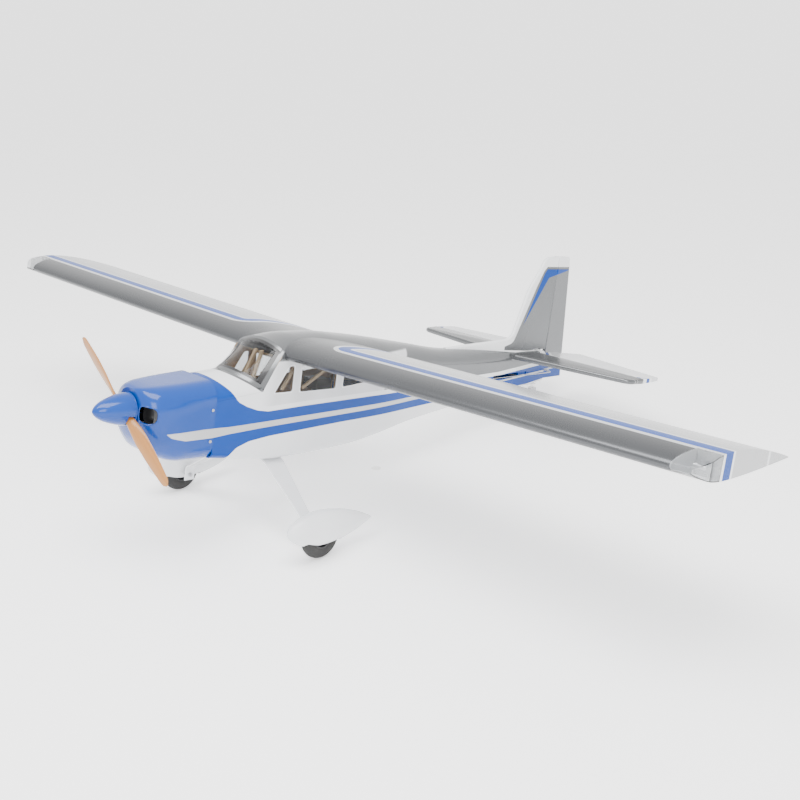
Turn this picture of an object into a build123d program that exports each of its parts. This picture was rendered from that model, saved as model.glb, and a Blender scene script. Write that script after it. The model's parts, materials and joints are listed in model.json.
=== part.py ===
from build123d import *

import os
from math import asin, atan2, cos, degrees, hypot, pi, radians, sin, sqrt, tan

# Radio-controlled high-wing sport aeroplane, standing on its two main wheels and its tail wheel.
# Every piece is modelled in millimetres in the level frame: the propeller turns about the Y axis through
# the origin, the nose points to -Y, +X is the left (port) side and +Z is up.  save_all() then turns the
# whole aeroplane nose-up about X and sets it down, so that its three wheels touch Z = 0.

# ---------------------------------------------------------------- driving dimensions
SPAN = 1752.0
CHORD = 267.0
CAMBER, CAMBER_AT, THICKNESS = 0.024, 0.40, 0.145
TRAILING_EDGE = 1.8
DIHEDRAL, INCIDENCE = 1.25, 1.5
WING_LE_Y, WING_LE_Z = 296.0, 90.0
WING_SKIN, RIB_THICK, RIB_PITCH, SPAR_THICK = 1.6, 2.4, 88.0, 3.0
SPAR_AT, TUBE_AT = 0.37, 0.28
WING_TUBE_R, WING_TUBE_WALL, WING_TUBE_HALF = 9.5, 1.0, 330.0
HINGE_AT = 0.755
TIP_LENGTH, TIP_ROUND = 42.0, 30.0
FLAP_START, FLAP_LENGTH, AILERON_LENGTH = 112.0, 302.0, 346.0
END_GAP, HINGE_GAP = 1.5, 1.2
LENS_SPAN, LENS_CHORD, LENS_SLANT, LENS_WALL = 50.0, 49.0, 11.0, 1.2

BODY_WALL, CABIN_HALF = 2.0, 66.0
SNUG, SLIP, DECK_LAP, HORN_SEAT = 0.05, 0.1, 2.0, 0.1
NOSE_Y, PILLAR_Y, CABIN_REAR_Y, TAIL_Y = 148.0, 252.0, 560.0, 1212.0
FIREWALL_THICK, PANEL_GAP = 6.0, 0.3
WINDSHIELD_WALL, FRAME_WALL, FRAME_WIDTH = 1.2, 2.2, 7.0
WINDOW_THICK = 1.0

SPINNER_R, SPINNER_TIP_Y, SPINNER_BACK_Y, SPINNER_WALL = 28.5, -58.0, 12.0, 1.6
BACKPLATE_THICK = 3.0
PROP_R, PROP_PITCH, PROP_HUB_R, PROP_HUB_THICK = 165.0, 165.0, 12.0, 13.0
PROP_REST_ANGLE = 145.6
SHAFT_R, NUT_R = 3.0, 6.0
MOTOR_R, MOTOR_FRONT_Y, MOTOR_REAR_Y = 25.0, 42.0, 94.0
BELL_WALL, STATOR_GAP = 2.0, 0.6
COWL_FRONT_Y, COWL_WALL = 14.0, 1.5

WHEEL_R, WHEEL_WIDTH, HUB_R = 41.0, 22.0, 21.0
MAIN_AXLE_Y, MAIN_AXLE_Z, HALF_TRACK = 294.0, -205.5, 206.0
AXLE_R, RUNNING = 2.0, 0.06
GEAR_THICK, GEAR_ROOT_WIDTH, GEAR_FOOT_WIDTH, GEAR_BEND_X, GEAR_FOOT_X = 3.0, 46.0, 24.0, 50.0, 176.0
PANT_FRONT_Y, PANT_LENGTH, PANT_WALL = 215.0, 206.0, 1.5
PANT_HEIGHT, PANT_WIDTH, PANT_Z = 2 * WHEEL_R - 15.0, WHEEL_WIDTH + 26.0, MAIN_AXLE_Z + 15.5
TAIL_WHEEL_R, TAIL_WHEEL_WIDTH = 14.0, 9.0
TAIL_AXLE_Y, TAIL_AXLE_Z, TAIL_PIVOT_Y = 1203.0, -83.0, 1190.0

TAIL_SPAN, STAB_Z, STAB_THICK, STAB_ROOT_X = 606.0, 38.0, 11.0, 23.6
STAB_LE_ROOT_Y, STAB_LE_TIP_Y, ELEVATOR_HINGE_Y = 1064.0, 1114.0, 1168.0
ELEVATOR_TE_ROOT_Y, ELEVATOR_TE_TIP_Y, ELEVATOR_ROOT_X, TAIL_ROUND = 1298.0, 1243.0, 24.0, 14.0
STAB_TUBE_R, STAB_TUBE_Y, JOINER_R, JOINER_BACK = 3.0, 1110.0, 1.5, 9.0
FIN_THICK, FIN_TOP_Z = 10.0, 273.0
RUDDER_HINGE_Y, RUDDER_TOP_Y, RUDDER_FOOT_Y, RUDDER_FOOT_Z = 1214.0, 1264.0, 1304.0, -27.0

AILERON_TRAVEL, FLAP_TRAVEL, ELEVATOR_TRAVEL, RUDDER_TRAVEL = 22.0, 35.0, 22.0, 28.0
BEVEL_MARGIN = 9.0
WING_HORN_DROP, TAIL_HORN_DROP, RUDDER_HORN_X = 27.0, 34.0, 25.0
WING_ROD, ELEVATOR_ROD, RUDDER_ROD = 80.0, 700.0, 760.0
ELEVATOR_ROD_RISE = 26.0
ELEVATOR_HORN_X, RUDDER_HORN_Z = -32.0, -6.0
ROD_R, PIN_R, PIN_PLAY, OPEN_PLAY = 1.0, 0.8, 0.05, 0.12
LEAF, FORK_GAP = 1.6, 0.35
SERVO_LONG, SERVO_WIDE, SERVO_TALL = 40.0, 20.0, 38.0

os.makedirs("parts", exist_ok=True)
pieces = {}
half_span = SPAN / 2
panel_root_x = CABIN_HALF + PANEL_GAP


# ---------------------------------------------------------------- helpers
def box(low, high, mode=Mode.ADD):
    """A box given by its lowest and highest corners."""
    with Locations(tuple((h + l) / 2 for l, h in zip(low, high))):
        Box(*[h - l for l, h in zip(low, high)], mode=mode)


def rod(axis, centre, radius, length, mode=Mode.ADD):
    """A cylinder centred on a point, along X, Y or Z."""
    turn = {"X": (0, 90, 0), "Y": (90, 0, 0), "Z": (0, 0, 0)}[axis]
    with Locations(Location(centre, turn)):
        Cylinder(radius, length, mode=mode)


def across(y):
    """The upright plane across the body at y, drawn in x and z; it faces aft."""
    return Plane(origin=(0, y, 0), x_dir=(-1, 0, 0), z_dir=(0, 1, 0))


def side(x=0.0):
    """The upright plane along the body at x, drawn in y and z; it faces left."""
    return Plane(origin=(x, 0, 0), x_dir=(0, 1, 0), z_dir=(1, 0, 0))


def between(low, high, share):
    """The value at a share of the way from low to high."""
    return low + (high - low) * share


def keep(name, *shapes):
    """Files one finished piece, or a group of separate solids, under its node name."""
    pieces[name] = shapes[0] if len(shapes) == 1 else Compound(list(shapes))


def mirrored(shape):
    """The same piece on the other side of the aeroplane."""
    return mirror(shape, about=Plane.YZ)


# ---------------------------------------------------------------- body
def hull_outline(y, half, bottom, shoulder, top, corner):
    """Flat sides, a floor with round corners and a half-elliptic deck."""
    with BuildSketch(across(y)) as outline:
        with BuildLine():
            Line((-half, shoulder), (-half, bottom + corner))
            JernArc((-half, bottom + corner), (0, -1), corner, 90)
            Line((-half + corner, bottom), (half - corner, bottom))
            JernArc((half - corner, bottom), (1, 0), corner, 90)
            Line((half, bottom + corner), (half, shoulder))
            EllipticalCenterArc((0, shoulder), half, top - shoulder, arc_size=180)
        make_face()
    return outline.sketch


def hull(stations, inset=0.0, mode=Mode.ADD):
    """A body through stations of (y, half width, bottom, shoulder, top, corner radius)."""
    outlines = [
        hull_outline(y, half - inset, bottom + inset, shoulder, top - inset, corner)
        for y, half, bottom, shoulder, top, corner in stations
    ]
    loft(outlines, ruled=True, mode=mode)


def extended(stations, front=0.0, rear=0.0):
    """The same stations with the first and last moved along the body, for cuts that run past a face."""
    first, last = stations[0], stations[-1]
    return [(first[0] - front, *first[1:]), *stations[1:-1], (last[0] + rear, *last[1:])]


nose_half = CABIN_HALF - 2.0
nose = [(NOSE_Y, nose_half, -88, 16, 49, 12), (PILLAR_Y, CABIN_HALF, -101, 27, 57.5, 12)]
cabin = [
    (PILLAR_Y, CABIN_HALF, -101, 84, 104, 12),
    (300, CABIN_HALF, -106, 84, 112, 12),
    (350, CABIN_HALF, -106, 86, 118, 12),
    (420, CABIN_HALF, -104, 86, 117, 12),
    (500, CABIN_HALF, -99, 80, 110, 12),
    (CABIN_REAR_Y, CABIN_HALF - 1, -91, 66, 103, 12),
]
tail = [
    cabin[-1],
    (690, 54, -72, 46, 84, 10),
    (815, 43, -61, 36, 66, 9),
    (1000, 28, -48, 26, 55, 7),
    (TAIL_Y, 12, -32, 28, 42, 5),
]
base_chord, base_crown = (PILLAR_Y, 29.0), (210.0, 54.0)
top_chord, top_crown = (WING_LE_Y, 97.0), (WING_LE_Y, 112.0)
body = [(NOSE_Y, nose_half, -88, 84, 104, 12), *cabin, *tail[1:]]


def shifted(point, towards, distance):
    """A side-view point moved by a distance towards another point."""
    length = hypot(towards[0] - point[0], towards[1] - point[1])
    share = distance / length
    return tuple(between(a, b, share) for a, b in zip(point, towards))


def side_cut(points, half=CABIN_HALF + 20, mode=Mode.SUBTRACT):
    """A side-view polygon run right across the body."""
    with BuildSketch(side()) as outline:
        with BuildLine():
            Polyline(*points, close=True)
        make_face()
    extrude(outline.sketch, amount=half, both=True, mode=mode)


def station_value(stations, y, column):
    """One column of the stations at y, read along straight stringers."""
    for low, high in zip(stations, stations[1:]):
        if low[0] <= y <= high[0]:
            return between(low[column], high[column], (y - low[0]) / (high[0] - low[0]))
    return stations[-1][column]


window_front = [(278, 22), (322, 22), (322, 70), (310, 70)]
window_middle = [(341, 20), (434, 20), (434, 68), (341, 68)]
window_rear = [(453, 21), (522, 27), (500, 62), (453, 66)]
windows = [window_front, window_middle, window_rear]
tube_y = WING_LE_Y + TUBE_AT * CHORD
tube_z = WING_LE_Z + 3.5

with BuildPart() as fuselage_shell:
    hull(body)
    box((-STAB_ROOT_X, STAB_LE_ROOT_Y - 8, STAB_Z - 12), (STAB_ROOT_X, ELEVATOR_HINGE_Y - 1, STAB_Z + 8))
    # hollow nose, cabin and tail cone
    hull(extended(body[:-1], front=1.0), BODY_WALL, Mode.SUBTRACT)
    # the hatch's opening: the deck above the shoulder line, and the wedge in front of the screen pillars
    side_cut([(NOSE_Y - 5, 16), (NOSE_Y, 16), (PILLAR_Y, 27), base_chord, top_chord, (top_chord[0], 130),
              (NOSE_Y - 5, 130)])
    for outline in windows:
        side_cut(outline)
    rod("X", (0, tube_y, tube_z), WING_TUBE_R + SLIP, 3 * CABIN_HALF, Mode.SUBTRACT)
    rod("X", (0, STAB_TUBE_Y, STAB_Z), STAB_TUBE_R + SNUG, 3 * STAB_ROOT_X, Mode.SUBTRACT)
    # slot for the elevator joiner, and exits for the rudder rod (left) and the elevator rod (right)
    box((-30, ELEVATOR_HINGE_Y - 4, 26), (30, ELEVATOR_HINGE_Y + 24, 60), Mode.SUBTRACT)
    box((RUDDER_HORN_X - 9, 985, RUDDER_HORN_Z - 5), (RUDDER_HORN_X + 9, 1130, RUDDER_HORN_Z + 5),
        Mode.SUBTRACT)
    box((ELEVATOR_HORN_X - 8, 866, -13), (ELEVATOR_HORN_X - 0.6, 1090, 9), Mode.SUBTRACT)
keep("fuselage_shell", fuselage_shell.part)

firewall_half = station_value(nose, NOSE_Y, 1) - BODY_WALL - SLIP
block_places = [(46, 18), (54, -62)]
with BuildPart() as firewall:
    box((-firewall_half, NOSE_Y + 0.2, -74), (firewall_half, NOSE_Y + FIREWALL_THICK, 14))
    for x, z in block_places:
        box((x - 5, NOSE_Y - 13, z - 6), (x + 5, NOSE_Y + 0.5, z + 6))
        box((-x - 5, NOSE_Y - 13, z - 6), (-x + 5, NOSE_Y + 0.5, z + 6))
keep("firewall", firewall.part)

tray_z = -67.0

# a plywood former at each cabin bay: a ring with an arched opening, and the struts between the windows
former_places = [262.0, 330.0, 441.0, 540.0]
with BuildPart() as cabin_formers:
    for y in former_places:
        half = station_value(cabin, y, 1) - BODY_WALL - SLIP
        top = min(station_value(cabin, y, 3) - 4, 78 if y > 300 else 20)
        box((-half, y - 1.5, -78), (half, y + 1.5, top))
        box((-half + 9, y - 2, tray_z - 0.2), (half - 9, y + 2, top - 9), Mode.SUBTRACT)
keep("cabin_formers", *cabin_formers.part.solids())

with BuildPart() as equipment_tray:
    box((-54, NOSE_Y + FIREWALL_THICK + 0.2, tray_z), (54, 520, tray_z + 3))
    for y in (200, 300, 380, 470):
        box((-9, y - 14, tray_z - 1), (9, y + 14, tray_z + 4), Mode.SUBTRACT)
keep("equipment_tray", equipment_tray.part)

with BuildPart() as side_windows:
    for outline in windows:
        for x in (CABIN_HALF - BODY_WALL + 0.4, -CABIN_HALF + BODY_WALL - 0.4 - WINDOW_THICK):
            with BuildSketch(side(x)):
                with BuildLine():
                    Polyline(*outline, close=True)
                make_face()
            extrude(amount=WINDOW_THICK)
keep("side_windows", *side_windows.part.solids())


# ---------------------------------------------------------------- hatch and windshield
def screen_wedge(inset, drop=0.0, mode=Mode.ADD):
    """The space behind the windshield: its front is one curved sheet from deck to wing."""
    low_chord, low_crown = shifted(base_chord, top_chord, -drop), shifted(base_crown, top_crown, -drop)
    ends = []
    for chord, crown, half in ((low_chord, low_crown, CABIN_HALF), (top_chord, top_crown, 62.0)):
        depth = hypot(crown[0] - chord[0], crown[1] - chord[1])
        rise = ((crown[0] - chord[0]) / depth, (crown[1] - chord[1]) / depth)
        plane = Plane(origin=(0, *chord), x_dir=(1, 0, 0), z_dir=Vector(1, 0, 0).cross(Vector(0, *rise)))
        with BuildSketch(plane) as end:
            with BuildLine():
                ThreePointArc((-half + inset, 0), (0, depth - inset), (half - inset, 0))
                Line((half - inset, 0), (-half + inset, 0))
            make_face()
        ends.append(end.sketch)
    loft(ends, ruled=True, mode=mode)


back_low = shifted(base_chord, base_crown, FRAME_WIDTH)
back_high = shifted(top_chord, top_crown, FRAME_WIDTH * 0.7)
screen_opening = [
    shifted(base_crown, top_crown, FRAME_WIDTH),
    shifted(back_low, back_high, FRAME_WIDTH),
    shifted(back_high, back_low, FRAME_WIDTH),
    shifted(top_crown, base_crown, FRAME_WIDTH),
    (230, 120),
    (180, 90),
]

with BuildPart() as screen_frame:
    screen_wedge(0.0, drop=4.0)
    screen_wedge(FRAME_WALL, drop=6.0, mode=Mode.SUBTRACT)
    side_cut(screen_opening)
    side_cut([shifted(base_chord, base_crown, PANEL_GAP), (top_chord[0] - PANEL_GAP, top_chord[1]),
              (top_chord[0] - PANEL_GAP, 130), (330, 130), (330, 27)])

deck = extended(nose, front=-PANEL_GAP)
with BuildPart() as hatch:
    hull(deck)
    hull(extended(deck, front=1.0, rear=1.0), BODY_WALL, Mode.SUBTRACT)
    side_cut([(base_crown[0] + DECK_LAP, 90), (base_crown[0] + DECK_LAP, base_crown[1]),
              (base_chord[0] + DECK_LAP, base_chord[1]), (PILLAR_Y + 60, 29), (PILLAR_Y + 60, 90)])
    add(screen_frame.part)
    side_cut([(NOSE_Y - 5, 16 + PANEL_GAP), (NOSE_Y, 16 + PANEL_GAP), (PILLAR_Y, 27 + PANEL_GAP),
              (PILLAR_Y + 5, 27), (PILLAR_Y + 5, -120), (NOSE_Y - 5, -120)])
keep("hatch", hatch.part)

with BuildPart() as windshield:
    screen_wedge(0.4)
    screen_wedge(0.4 + WINDSHIELD_WALL, mode=Mode.SUBTRACT)
    side_cut(screen_opening, mode=Mode.INTERSECT)
keep("windshield", windshield.part)


# ---------------------------------------------------------------- cowl
cowl_rear = NOSE_Y - PANEL_GAP
cowl_half = nose_half + 1.0
cowl_stations = [
    (COWL_FRONT_Y, 31.5, -32.0, 35.5, 29.0),
    (COWL_FRONT_Y + 8, 50.0, -52.0, 38.5, 34.0),
    (COWL_FRONT_Y + 30, 61.5, -77.0, 42.0, 36.0),
    (COWL_FRONT_Y + 76, cowl_half, -91.0, 45.5, 34.0),
    (cowl_rear, cowl_half, -92.0, 49.5, 32.0),
]


def cowl_body(inset, mode=Mode.ADD):
    """Rounded sections that swell from the spinner ring to the body's width."""
    sections = []
    for y, half, bottom, top, corner in cowl_stations:
        front = y == COWL_FRONT_Y
        place = y + (inset if front else 0.0)
        place = place + (0.5 if inset and y == cowl_rear else 0.0)
        plane = Plane(origin=(0, place, (top + bottom) / 2), x_dir=(-1, 0, 0), z_dir=(0, 1, 0))
        with BuildSketch(plane) as section:
            RectangleRounded(2 * (half - inset), top - bottom - 2 * inset, corner - inset)
        sections.append(section.sketch)
    loft(sections, mode=mode)


inlet_x, inlet_z, inlet_width, inlet_height = 42.0, -2.0, 30.0, 30.0
with BuildPart() as cowl:
    cowl_body(0.0)
    cowl_body(COWL_WALL, Mode.SUBTRACT)
    rod("Y", (0, COWL_FRONT_Y, 0), 21, 12, Mode.SUBTRACT)
    for x in (inlet_x, -inlet_x):
        with BuildSketch(Plane(origin=(x, COWL_FRONT_Y - 2, inlet_z), x_dir=(-1, 0, 0), z_dir=(0, 1, 0))):
            RectangleRounded(inlet_width, inlet_height, 12)
        extrude(amount=26, mode=Mode.SUBTRACT)
    box((-34, cowl_rear - 46, -110), (34, cowl_rear + 1, -80), Mode.SUBTRACT)
keep("cowl", cowl.part)

# ---------------------------------------------------------------- motor
standoff = 19.0
with BuildPart() as motor_mount:
    box((-26, MOTOR_REAR_Y + 6, -26), (26, MOTOR_REAR_Y + 9, 26))
    for x in (-standoff, standoff):
        for z in (-standoff, standoff):
            rod("Y", (x, (MOTOR_REAR_Y + 9 + NOSE_Y + 0.2) / 2, z), 4.5, NOSE_Y + 0.2 - MOTOR_REAR_Y - 9)
    rod("Y", (0, MOTOR_REAR_Y + 7, 0), SHAFT_R + 2, 8, Mode.SUBTRACT)
keep("motor_mount", motor_mount.part)

with BuildPart() as motor_stator:
    rod("Y", (0, (MOTOR_FRONT_Y + MOTOR_REAR_Y) / 2 + 2, 0), MOTOR_R - BELL_WALL - STATOR_GAP,
        MOTOR_REAR_Y - MOTOR_FRONT_Y - 8)
    rod("Y", (0, MOTOR_REAR_Y + 2, 0), 14, 8)
    rod("Y", (0, 70, 0), SHAFT_R + RUNNING, 80, Mode.SUBTRACT)
keep("motor_stator", motor_stator.part)

with BuildPart() as motor_rotor:
    rod("Y", (0, (MOTOR_FRONT_Y + MOTOR_REAR_Y) / 2 - 1, 0), MOTOR_R, MOTOR_REAR_Y - MOTOR_FRONT_Y - 2)
    rod("Y", (0, (MOTOR_FRONT_Y + MOTOR_REAR_Y) / 2 + 2, 0), MOTOR_R - BELL_WALL,
        MOTOR_REAR_Y - MOTOR_FRONT_Y - 2, Mode.SUBTRACT)
    with Locations(Location((0, MOTOR_FRONT_Y, 0), (90, 0, 0))):
        with PolarLocations(15, 5):
            Cylinder(4, 12, mode=Mode.SUBTRACT)
    rod("Y", (0, between(SPINNER_BACK_Y, MOTOR_FRONT_Y, 0.5) + 0.5, 0), 9, MOTOR_FRONT_Y - SPINNER_BACK_Y - 1)
    rod("Y", (0, (MOTOR_REAR_Y - 22) / 2, 0), SHAFT_R, MOTOR_REAR_Y + 22)
keep("motor_rotor", motor_rotor.part)

# ---------------------------------------------------------------- propeller and spinner
backplate_front = SPINNER_BACK_Y - BACKPLATE_THICK
hub_front = backplate_front - PROP_HUB_THICK
blade_plane_y = (backplate_front + hub_front) / 2


def spinner_curve(radius, tip):
    """An ogive from the tip on the axis to the base circle, drawn in x and y."""
    with BuildSketch(Plane.XY) as outline:
        with BuildLine():
            Spline((0, tip), (radius * 0.62, tip + (backplate_front - tip) * 0.30), (radius, backplate_front),
                   tangents=((1, 0.55), (0.02, 1)))
            Line((radius, backplate_front), (0, backplate_front))
            Line((0, backplate_front), (0, tip))
        make_face()
    return outline.sketch


with BuildPart() as spinner_cone:
    revolve(spinner_curve(SPINNER_R, SPINNER_TIP_Y), axis=Axis.Y)
    revolve(spinner_curve(SPINNER_R - SPINNER_WALL, SPINNER_TIP_Y + 2.2), axis=Axis.Y, mode=Mode.SUBTRACT)
    with Locations(Location((0, blade_plane_y + 1, 0), (0, -PROP_REST_ANGLE, 0))):
        Box(2 * SPINNER_R + 6, PROP_HUB_THICK + 3, 20, mode=Mode.SUBTRACT)
keep("spinner_cone", spinner_cone.part)

with BuildPart() as spinner_backplate:
    rod("Y", (0, (SPINNER_BACK_Y + backplate_front) / 2 + 0.1, 0), SPINNER_R, BACKPLATE_THICK - 0.2)
    rod("Y", (0, SPINNER_BACK_Y, 0), SHAFT_R + SNUG, 12, Mode.SUBTRACT)
keep("spinner_backplate", spinner_backplate.part)


def blade_section(radius):
    """One blade section: a thin lens set at the pitch angle for its radius."""
    share = radius / PROP_R
    chord = between(12.0, 26.0, min(1.0, (share - 0.06) / 0.34)) - 34.0 * max(0.0, share - 0.6) ** 1.3
    thick = between(8.5, 2.2, min(1.0, share * 1.15))
    angle = degrees(atan2(PROP_PITCH, 2 * pi * radius))
    plane = Plane(origin=(radius, 0, 0), x_dir=(0, sin(radians(angle)), cos(radians(angle))), z_dir=(1, 0, 0))
    with BuildSketch(plane) as section:
        with BuildLine():
            ThreePointArc((-chord / 2, 0), (0, thick * 0.7), (chord / 2, 0))
            ThreePointArc((chord / 2, 0), (0, -thick * 0.3), (-chord / 2, 0))
        make_face()
    return section.sketch


with BuildPart() as blade:
    loft([blade_section(PROP_R * share) for share in (0.06, 0.13, 0.3, 0.5, 0.72, 0.9, 1.0)])

with BuildPart() as propeller:
    rod("Y", (0, 0, 0), PROP_HUB_R, PROP_HUB_THICK - 0.2)
    add(blade.part)
    add(blade.part.moved(Location((0, 0, 0), (0, 180, 0))))
    rod("Y", (0, 0, 0), SHAFT_R + SNUG, 30, Mode.SUBTRACT)
prop_place = Location((0, blade_plane_y, 0), (0, -PROP_REST_ANGLE, 0))
keep("propeller", propeller.part.moved(prop_place))

with BuildPart() as prop_nut:
    with BuildSketch(Plane(origin=(0, hub_front, 0), x_dir=(1, 0, 0), z_dir=(0, -1, 0))):
        RegularPolygon(NUT_R, 6)
        Circle(SHAFT_R + SNUG, mode=Mode.SUBTRACT)
    extrude(amount=7)
keep("prop_nut", prop_nut.part)

# ---------------------------------------------------------------- power and radio
with BuildPart() as battery:
    box((-24, 176, tray_z + 3.1), (24, 322, tray_z + 3.1 + 44))
keep("battery", battery.part)
with BuildPart() as speed_controller:
    box((-21, NOSE_Y - 34, -66), (21, NOSE_Y - 16, -36))
    for z in (-60, -52, -44):
        box((-22, NOSE_Y - 35, z), (22, NOSE_Y - 31, z + 2), Mode.SUBTRACT)
keep("speed_controller", speed_controller.part)

# ---------------------------------------------------------------- main gear
gear_top_z = -106.4
leg_line = [(-GEAR_FOOT_X, -217), (-GEAR_FOOT_X, -188), (-GEAR_BEND_X, gear_top_z), (GEAR_BEND_X, gear_top_z),
            (GEAR_FOOT_X, -188), (GEAR_FOOT_X, -217)]
gear_front_y = 281.0
with BuildPart() as landing_gear:
    with BuildSketch(Plane(origin=(0, gear_front_y, 0), x_dir=(-1, 0, 0), z_dir=(0, 1, 0))):
        with BuildLine():
            strap = FilletPolyline(*leg_line, radius=9)
            offset(strap, amount=GEAR_THICK, side=Side.RIGHT)
        make_face()
    extrude(amount=GEAR_ROOT_WIDTH)
    foot_rear = MAIN_AXLE_Y + GEAR_FOOT_WIDTH / 2
    foot_front = MAIN_AXLE_Y - GEAR_FOOT_WIDTH / 2
    side_cut([(gear_front_y + GEAR_ROOT_WIDTH, -112), (foot_rear, -190), (foot_rear, -230), (340, -230),
              (340, -112)], half=HALF_TRACK + 14)
    side_cut([(gear_front_y, -112), (foot_front, -190), (foot_front, -230), (270, -230), (270, -112)],
             half=HALF_TRACK + 14)
    rod("X", (0, MAIN_AXLE_Y, MAIN_AXLE_Z), AXLE_R + SNUG, 400, Mode.SUBTRACT)
keep("landing_gear", landing_gear.part)

gear_inner_x = GEAR_FOOT_X - GEAR_THICK
axle_end_x = HALF_TRACK + WHEEL_WIDTH / 2 + 4
with BuildPart() as axle:
    rod("X", ((gear_inner_x - 6 + axle_end_x) / 2, MAIN_AXLE_Y, MAIN_AXLE_Z), AXLE_R,
        axle_end_x - gear_inner_x + 6)
    rod("X", (GEAR_FOOT_X + 1.6, MAIN_AXLE_Y, MAIN_AXLE_Z), 4.5, 3)
    rod("X", (gear_inner_x - 2.1, MAIN_AXLE_Y, MAIN_AXLE_Z), 4.0, 4)
keep("wheel_axles", axle.part, mirrored(axle.part))

hub_face = WHEEL_WIDTH / 2 - 1.0
with BuildPart() as wheel_hub:
    rod("X", (HALF_TRACK, MAIN_AXLE_Y, MAIN_AXLE_Z), HUB_R, 2 * hub_face)
    for sign in (-1, 1):
        rod("X", (HALF_TRACK + sign * hub_face, MAIN_AXLE_Y, MAIN_AXLE_Z), HUB_R - 4, 9, Mode.SUBTRACT)
        rod("X", (HALF_TRACK + sign * (hub_face - 3), MAIN_AXLE_Y, MAIN_AXLE_Z), 6, 6)
    rod("X", (HALF_TRACK, MAIN_AXLE_Y, MAIN_AXLE_Z), AXLE_R + RUNNING, 40, Mode.SUBTRACT)

with BuildPart() as tyre:
    with BuildSketch(Plane(origin=(HALF_TRACK, MAIN_AXLE_Y, MAIN_AXLE_Z), x_dir=(1, 0, 0), z_dir=(0, -1, 0))):
        with BuildLine():
            shoulder = (WHEEL_WIDTH / 2 - 2.4, WHEEL_R - 3.0)
            cheek = (WHEEL_WIDTH / 2, between(HUB_R, WHEEL_R, 0.45))
            Line((-hub_face, HUB_R), (hub_face, HUB_R))
            ThreePointArc((hub_face, HUB_R), cheek, shoulder)
            ThreePointArc(shoulder, (0, WHEEL_R), (-shoulder[0], shoulder[1]))
            ThreePointArc((-shoulder[0], shoulder[1]), (-cheek[0], cheek[1]), (-hub_face, HUB_R))
        make_face()
    revolve(axis=Axis((0, MAIN_AXLE_Y, MAIN_AXLE_Z), (1, 0, 0)))

for prefix, place in (("left", lambda shape: shape), ("right", mirrored)):
    keep(f"{prefix}_wheel_hub", place(wheel_hub.part))
    keep(f"{prefix}_tyre", place(tyre.part))

pant_shares = [(0.0, 0.10), (0.06, 0.50), (0.18, 0.83), (0.36, 1.0), (0.58, 0.88), (0.8, 0.56), (1.0, 0.09)]


def pant_body(inset, mode=Mode.ADD):
    """A teardrop: elliptic sections along the body, blunt in front and drawn to a point behind."""
    sections = []
    for place, fullness in pant_shares:
        y = PANT_FRONT_Y + between(inset, PANT_LENGTH - inset, place)
        with BuildSketch(Plane(origin=(HALF_TRACK, y, PANT_Z), x_dir=(-1, 0, 0), z_dir=(0, 1, 0))) as section:
            Ellipse(max(PANT_WIDTH / 2 * fullness - inset, 0.6), max(PANT_HEIGHT / 2 * fullness - inset, 0.8))
        sections.append(section.sketch)
    loft(sections, mode=mode)


with BuildPart() as wheel_pant:
    pant_body(0.0)
    pant_body(PANT_WALL, Mode.SUBTRACT)
    well_half = WHEEL_WIDTH / 2 + 3.5
    box((HALF_TRACK - well_half, MAIN_AXLE_Y - WHEEL_R - 4, -240),
        (HALF_TRACK + well_half, MAIN_AXLE_Y + WHEEL_R + 4, -205), Mode.SUBTRACT)
    rod("X", (HALF_TRACK - 24, MAIN_AXLE_Y, MAIN_AXLE_Z), 5, 20, Mode.SUBTRACT)
keep("left_wheel_pant", wheel_pant.part)
keep("right_wheel_pant", mirrored(wheel_pant.part))


# ---------------------------------------------------------------- wing sections
def camber_line(share):
    """Height of the mean line over the chord, as a share of the chord."""
    if share < CAMBER_AT:
        return CAMBER / CAMBER_AT**2 * (2 * CAMBER_AT * share - share**2)
    return CAMBER / (1 - CAMBER_AT) ** 2 * (1 - 2 * CAMBER_AT + 2 * CAMBER_AT * share - share**2)


def half_thickness(share):
    """Half of the section's thickness, as a share of the chord."""
    curve = 0.2969 * sqrt(share) - 0.1260 * share - 0.3516 * share**2 + 0.2843 * share**3 - 0.1036 * share**4
    return 5 * THICKNESS * curve + TRAILING_EDGE / 2 / CHORD * share


def skin_z(share, sign, inset=0.0):
    """Height of the upper (sign 1) or lower (sign -1) surface."""
    return CHORD * (camber_line(share) + sign * half_thickness(share)) - sign * inset


def skin_points(sign, start, end, inset=0.0, count=9):
    """Points along one surface, closer together towards the front."""
    shares = [between(start, end, 1 - cos(pi / 2 * i / (count - 1))) for i in range(count)]
    return [(share * CHORD, skin_z(share, sign, inset)) for share in shares]


def wing_section(x, start, end, inset=0.0):
    """The wing section between two shares of the chord, at a distance x from the panel's root."""
    upper = skin_points(1, start, end, inset)
    lower = skin_points(-1, start, end, inset)
    with BuildSketch(Plane.YZ.offset(x)) as section:
        with BuildLine():
            if start == 0:
                Spline(*reversed(upper), *lower[1:])
            else:
                Spline(*upper)
                Spline(*lower)
                Line(upper[0], lower[0])
            Line(upper[-1], lower[-1])
        make_face()
    return section.sketch


def surface_section(x, up_travel, down_travel):
    """The part behind the hinge, with a front bevelled so that it can swing past the wing."""
    hinge = HINGE_AT + HINGE_GAP / 2 / CHORD
    up_run = half_thickness(hinge) * tan(radians(up_travel + BEVEL_MARGIN))
    down_run = half_thickness(hinge) * tan(radians(down_travel + BEVEL_MARGIN))
    upper = skin_points(1, hinge + up_run, 1.0, count=5)
    lower = skin_points(-1, hinge + down_run, 1.0, count=5)
    with BuildSketch(Plane.YZ.offset(x)) as section:
        with BuildLine():
            Spline(*upper)
            Spline(*lower)
            Line(upper[-1], lower[-1])
            Polyline(upper[0], (hinge * CHORD, hinge_z), lower[0])
        make_face()
    return section.sketch


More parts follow.
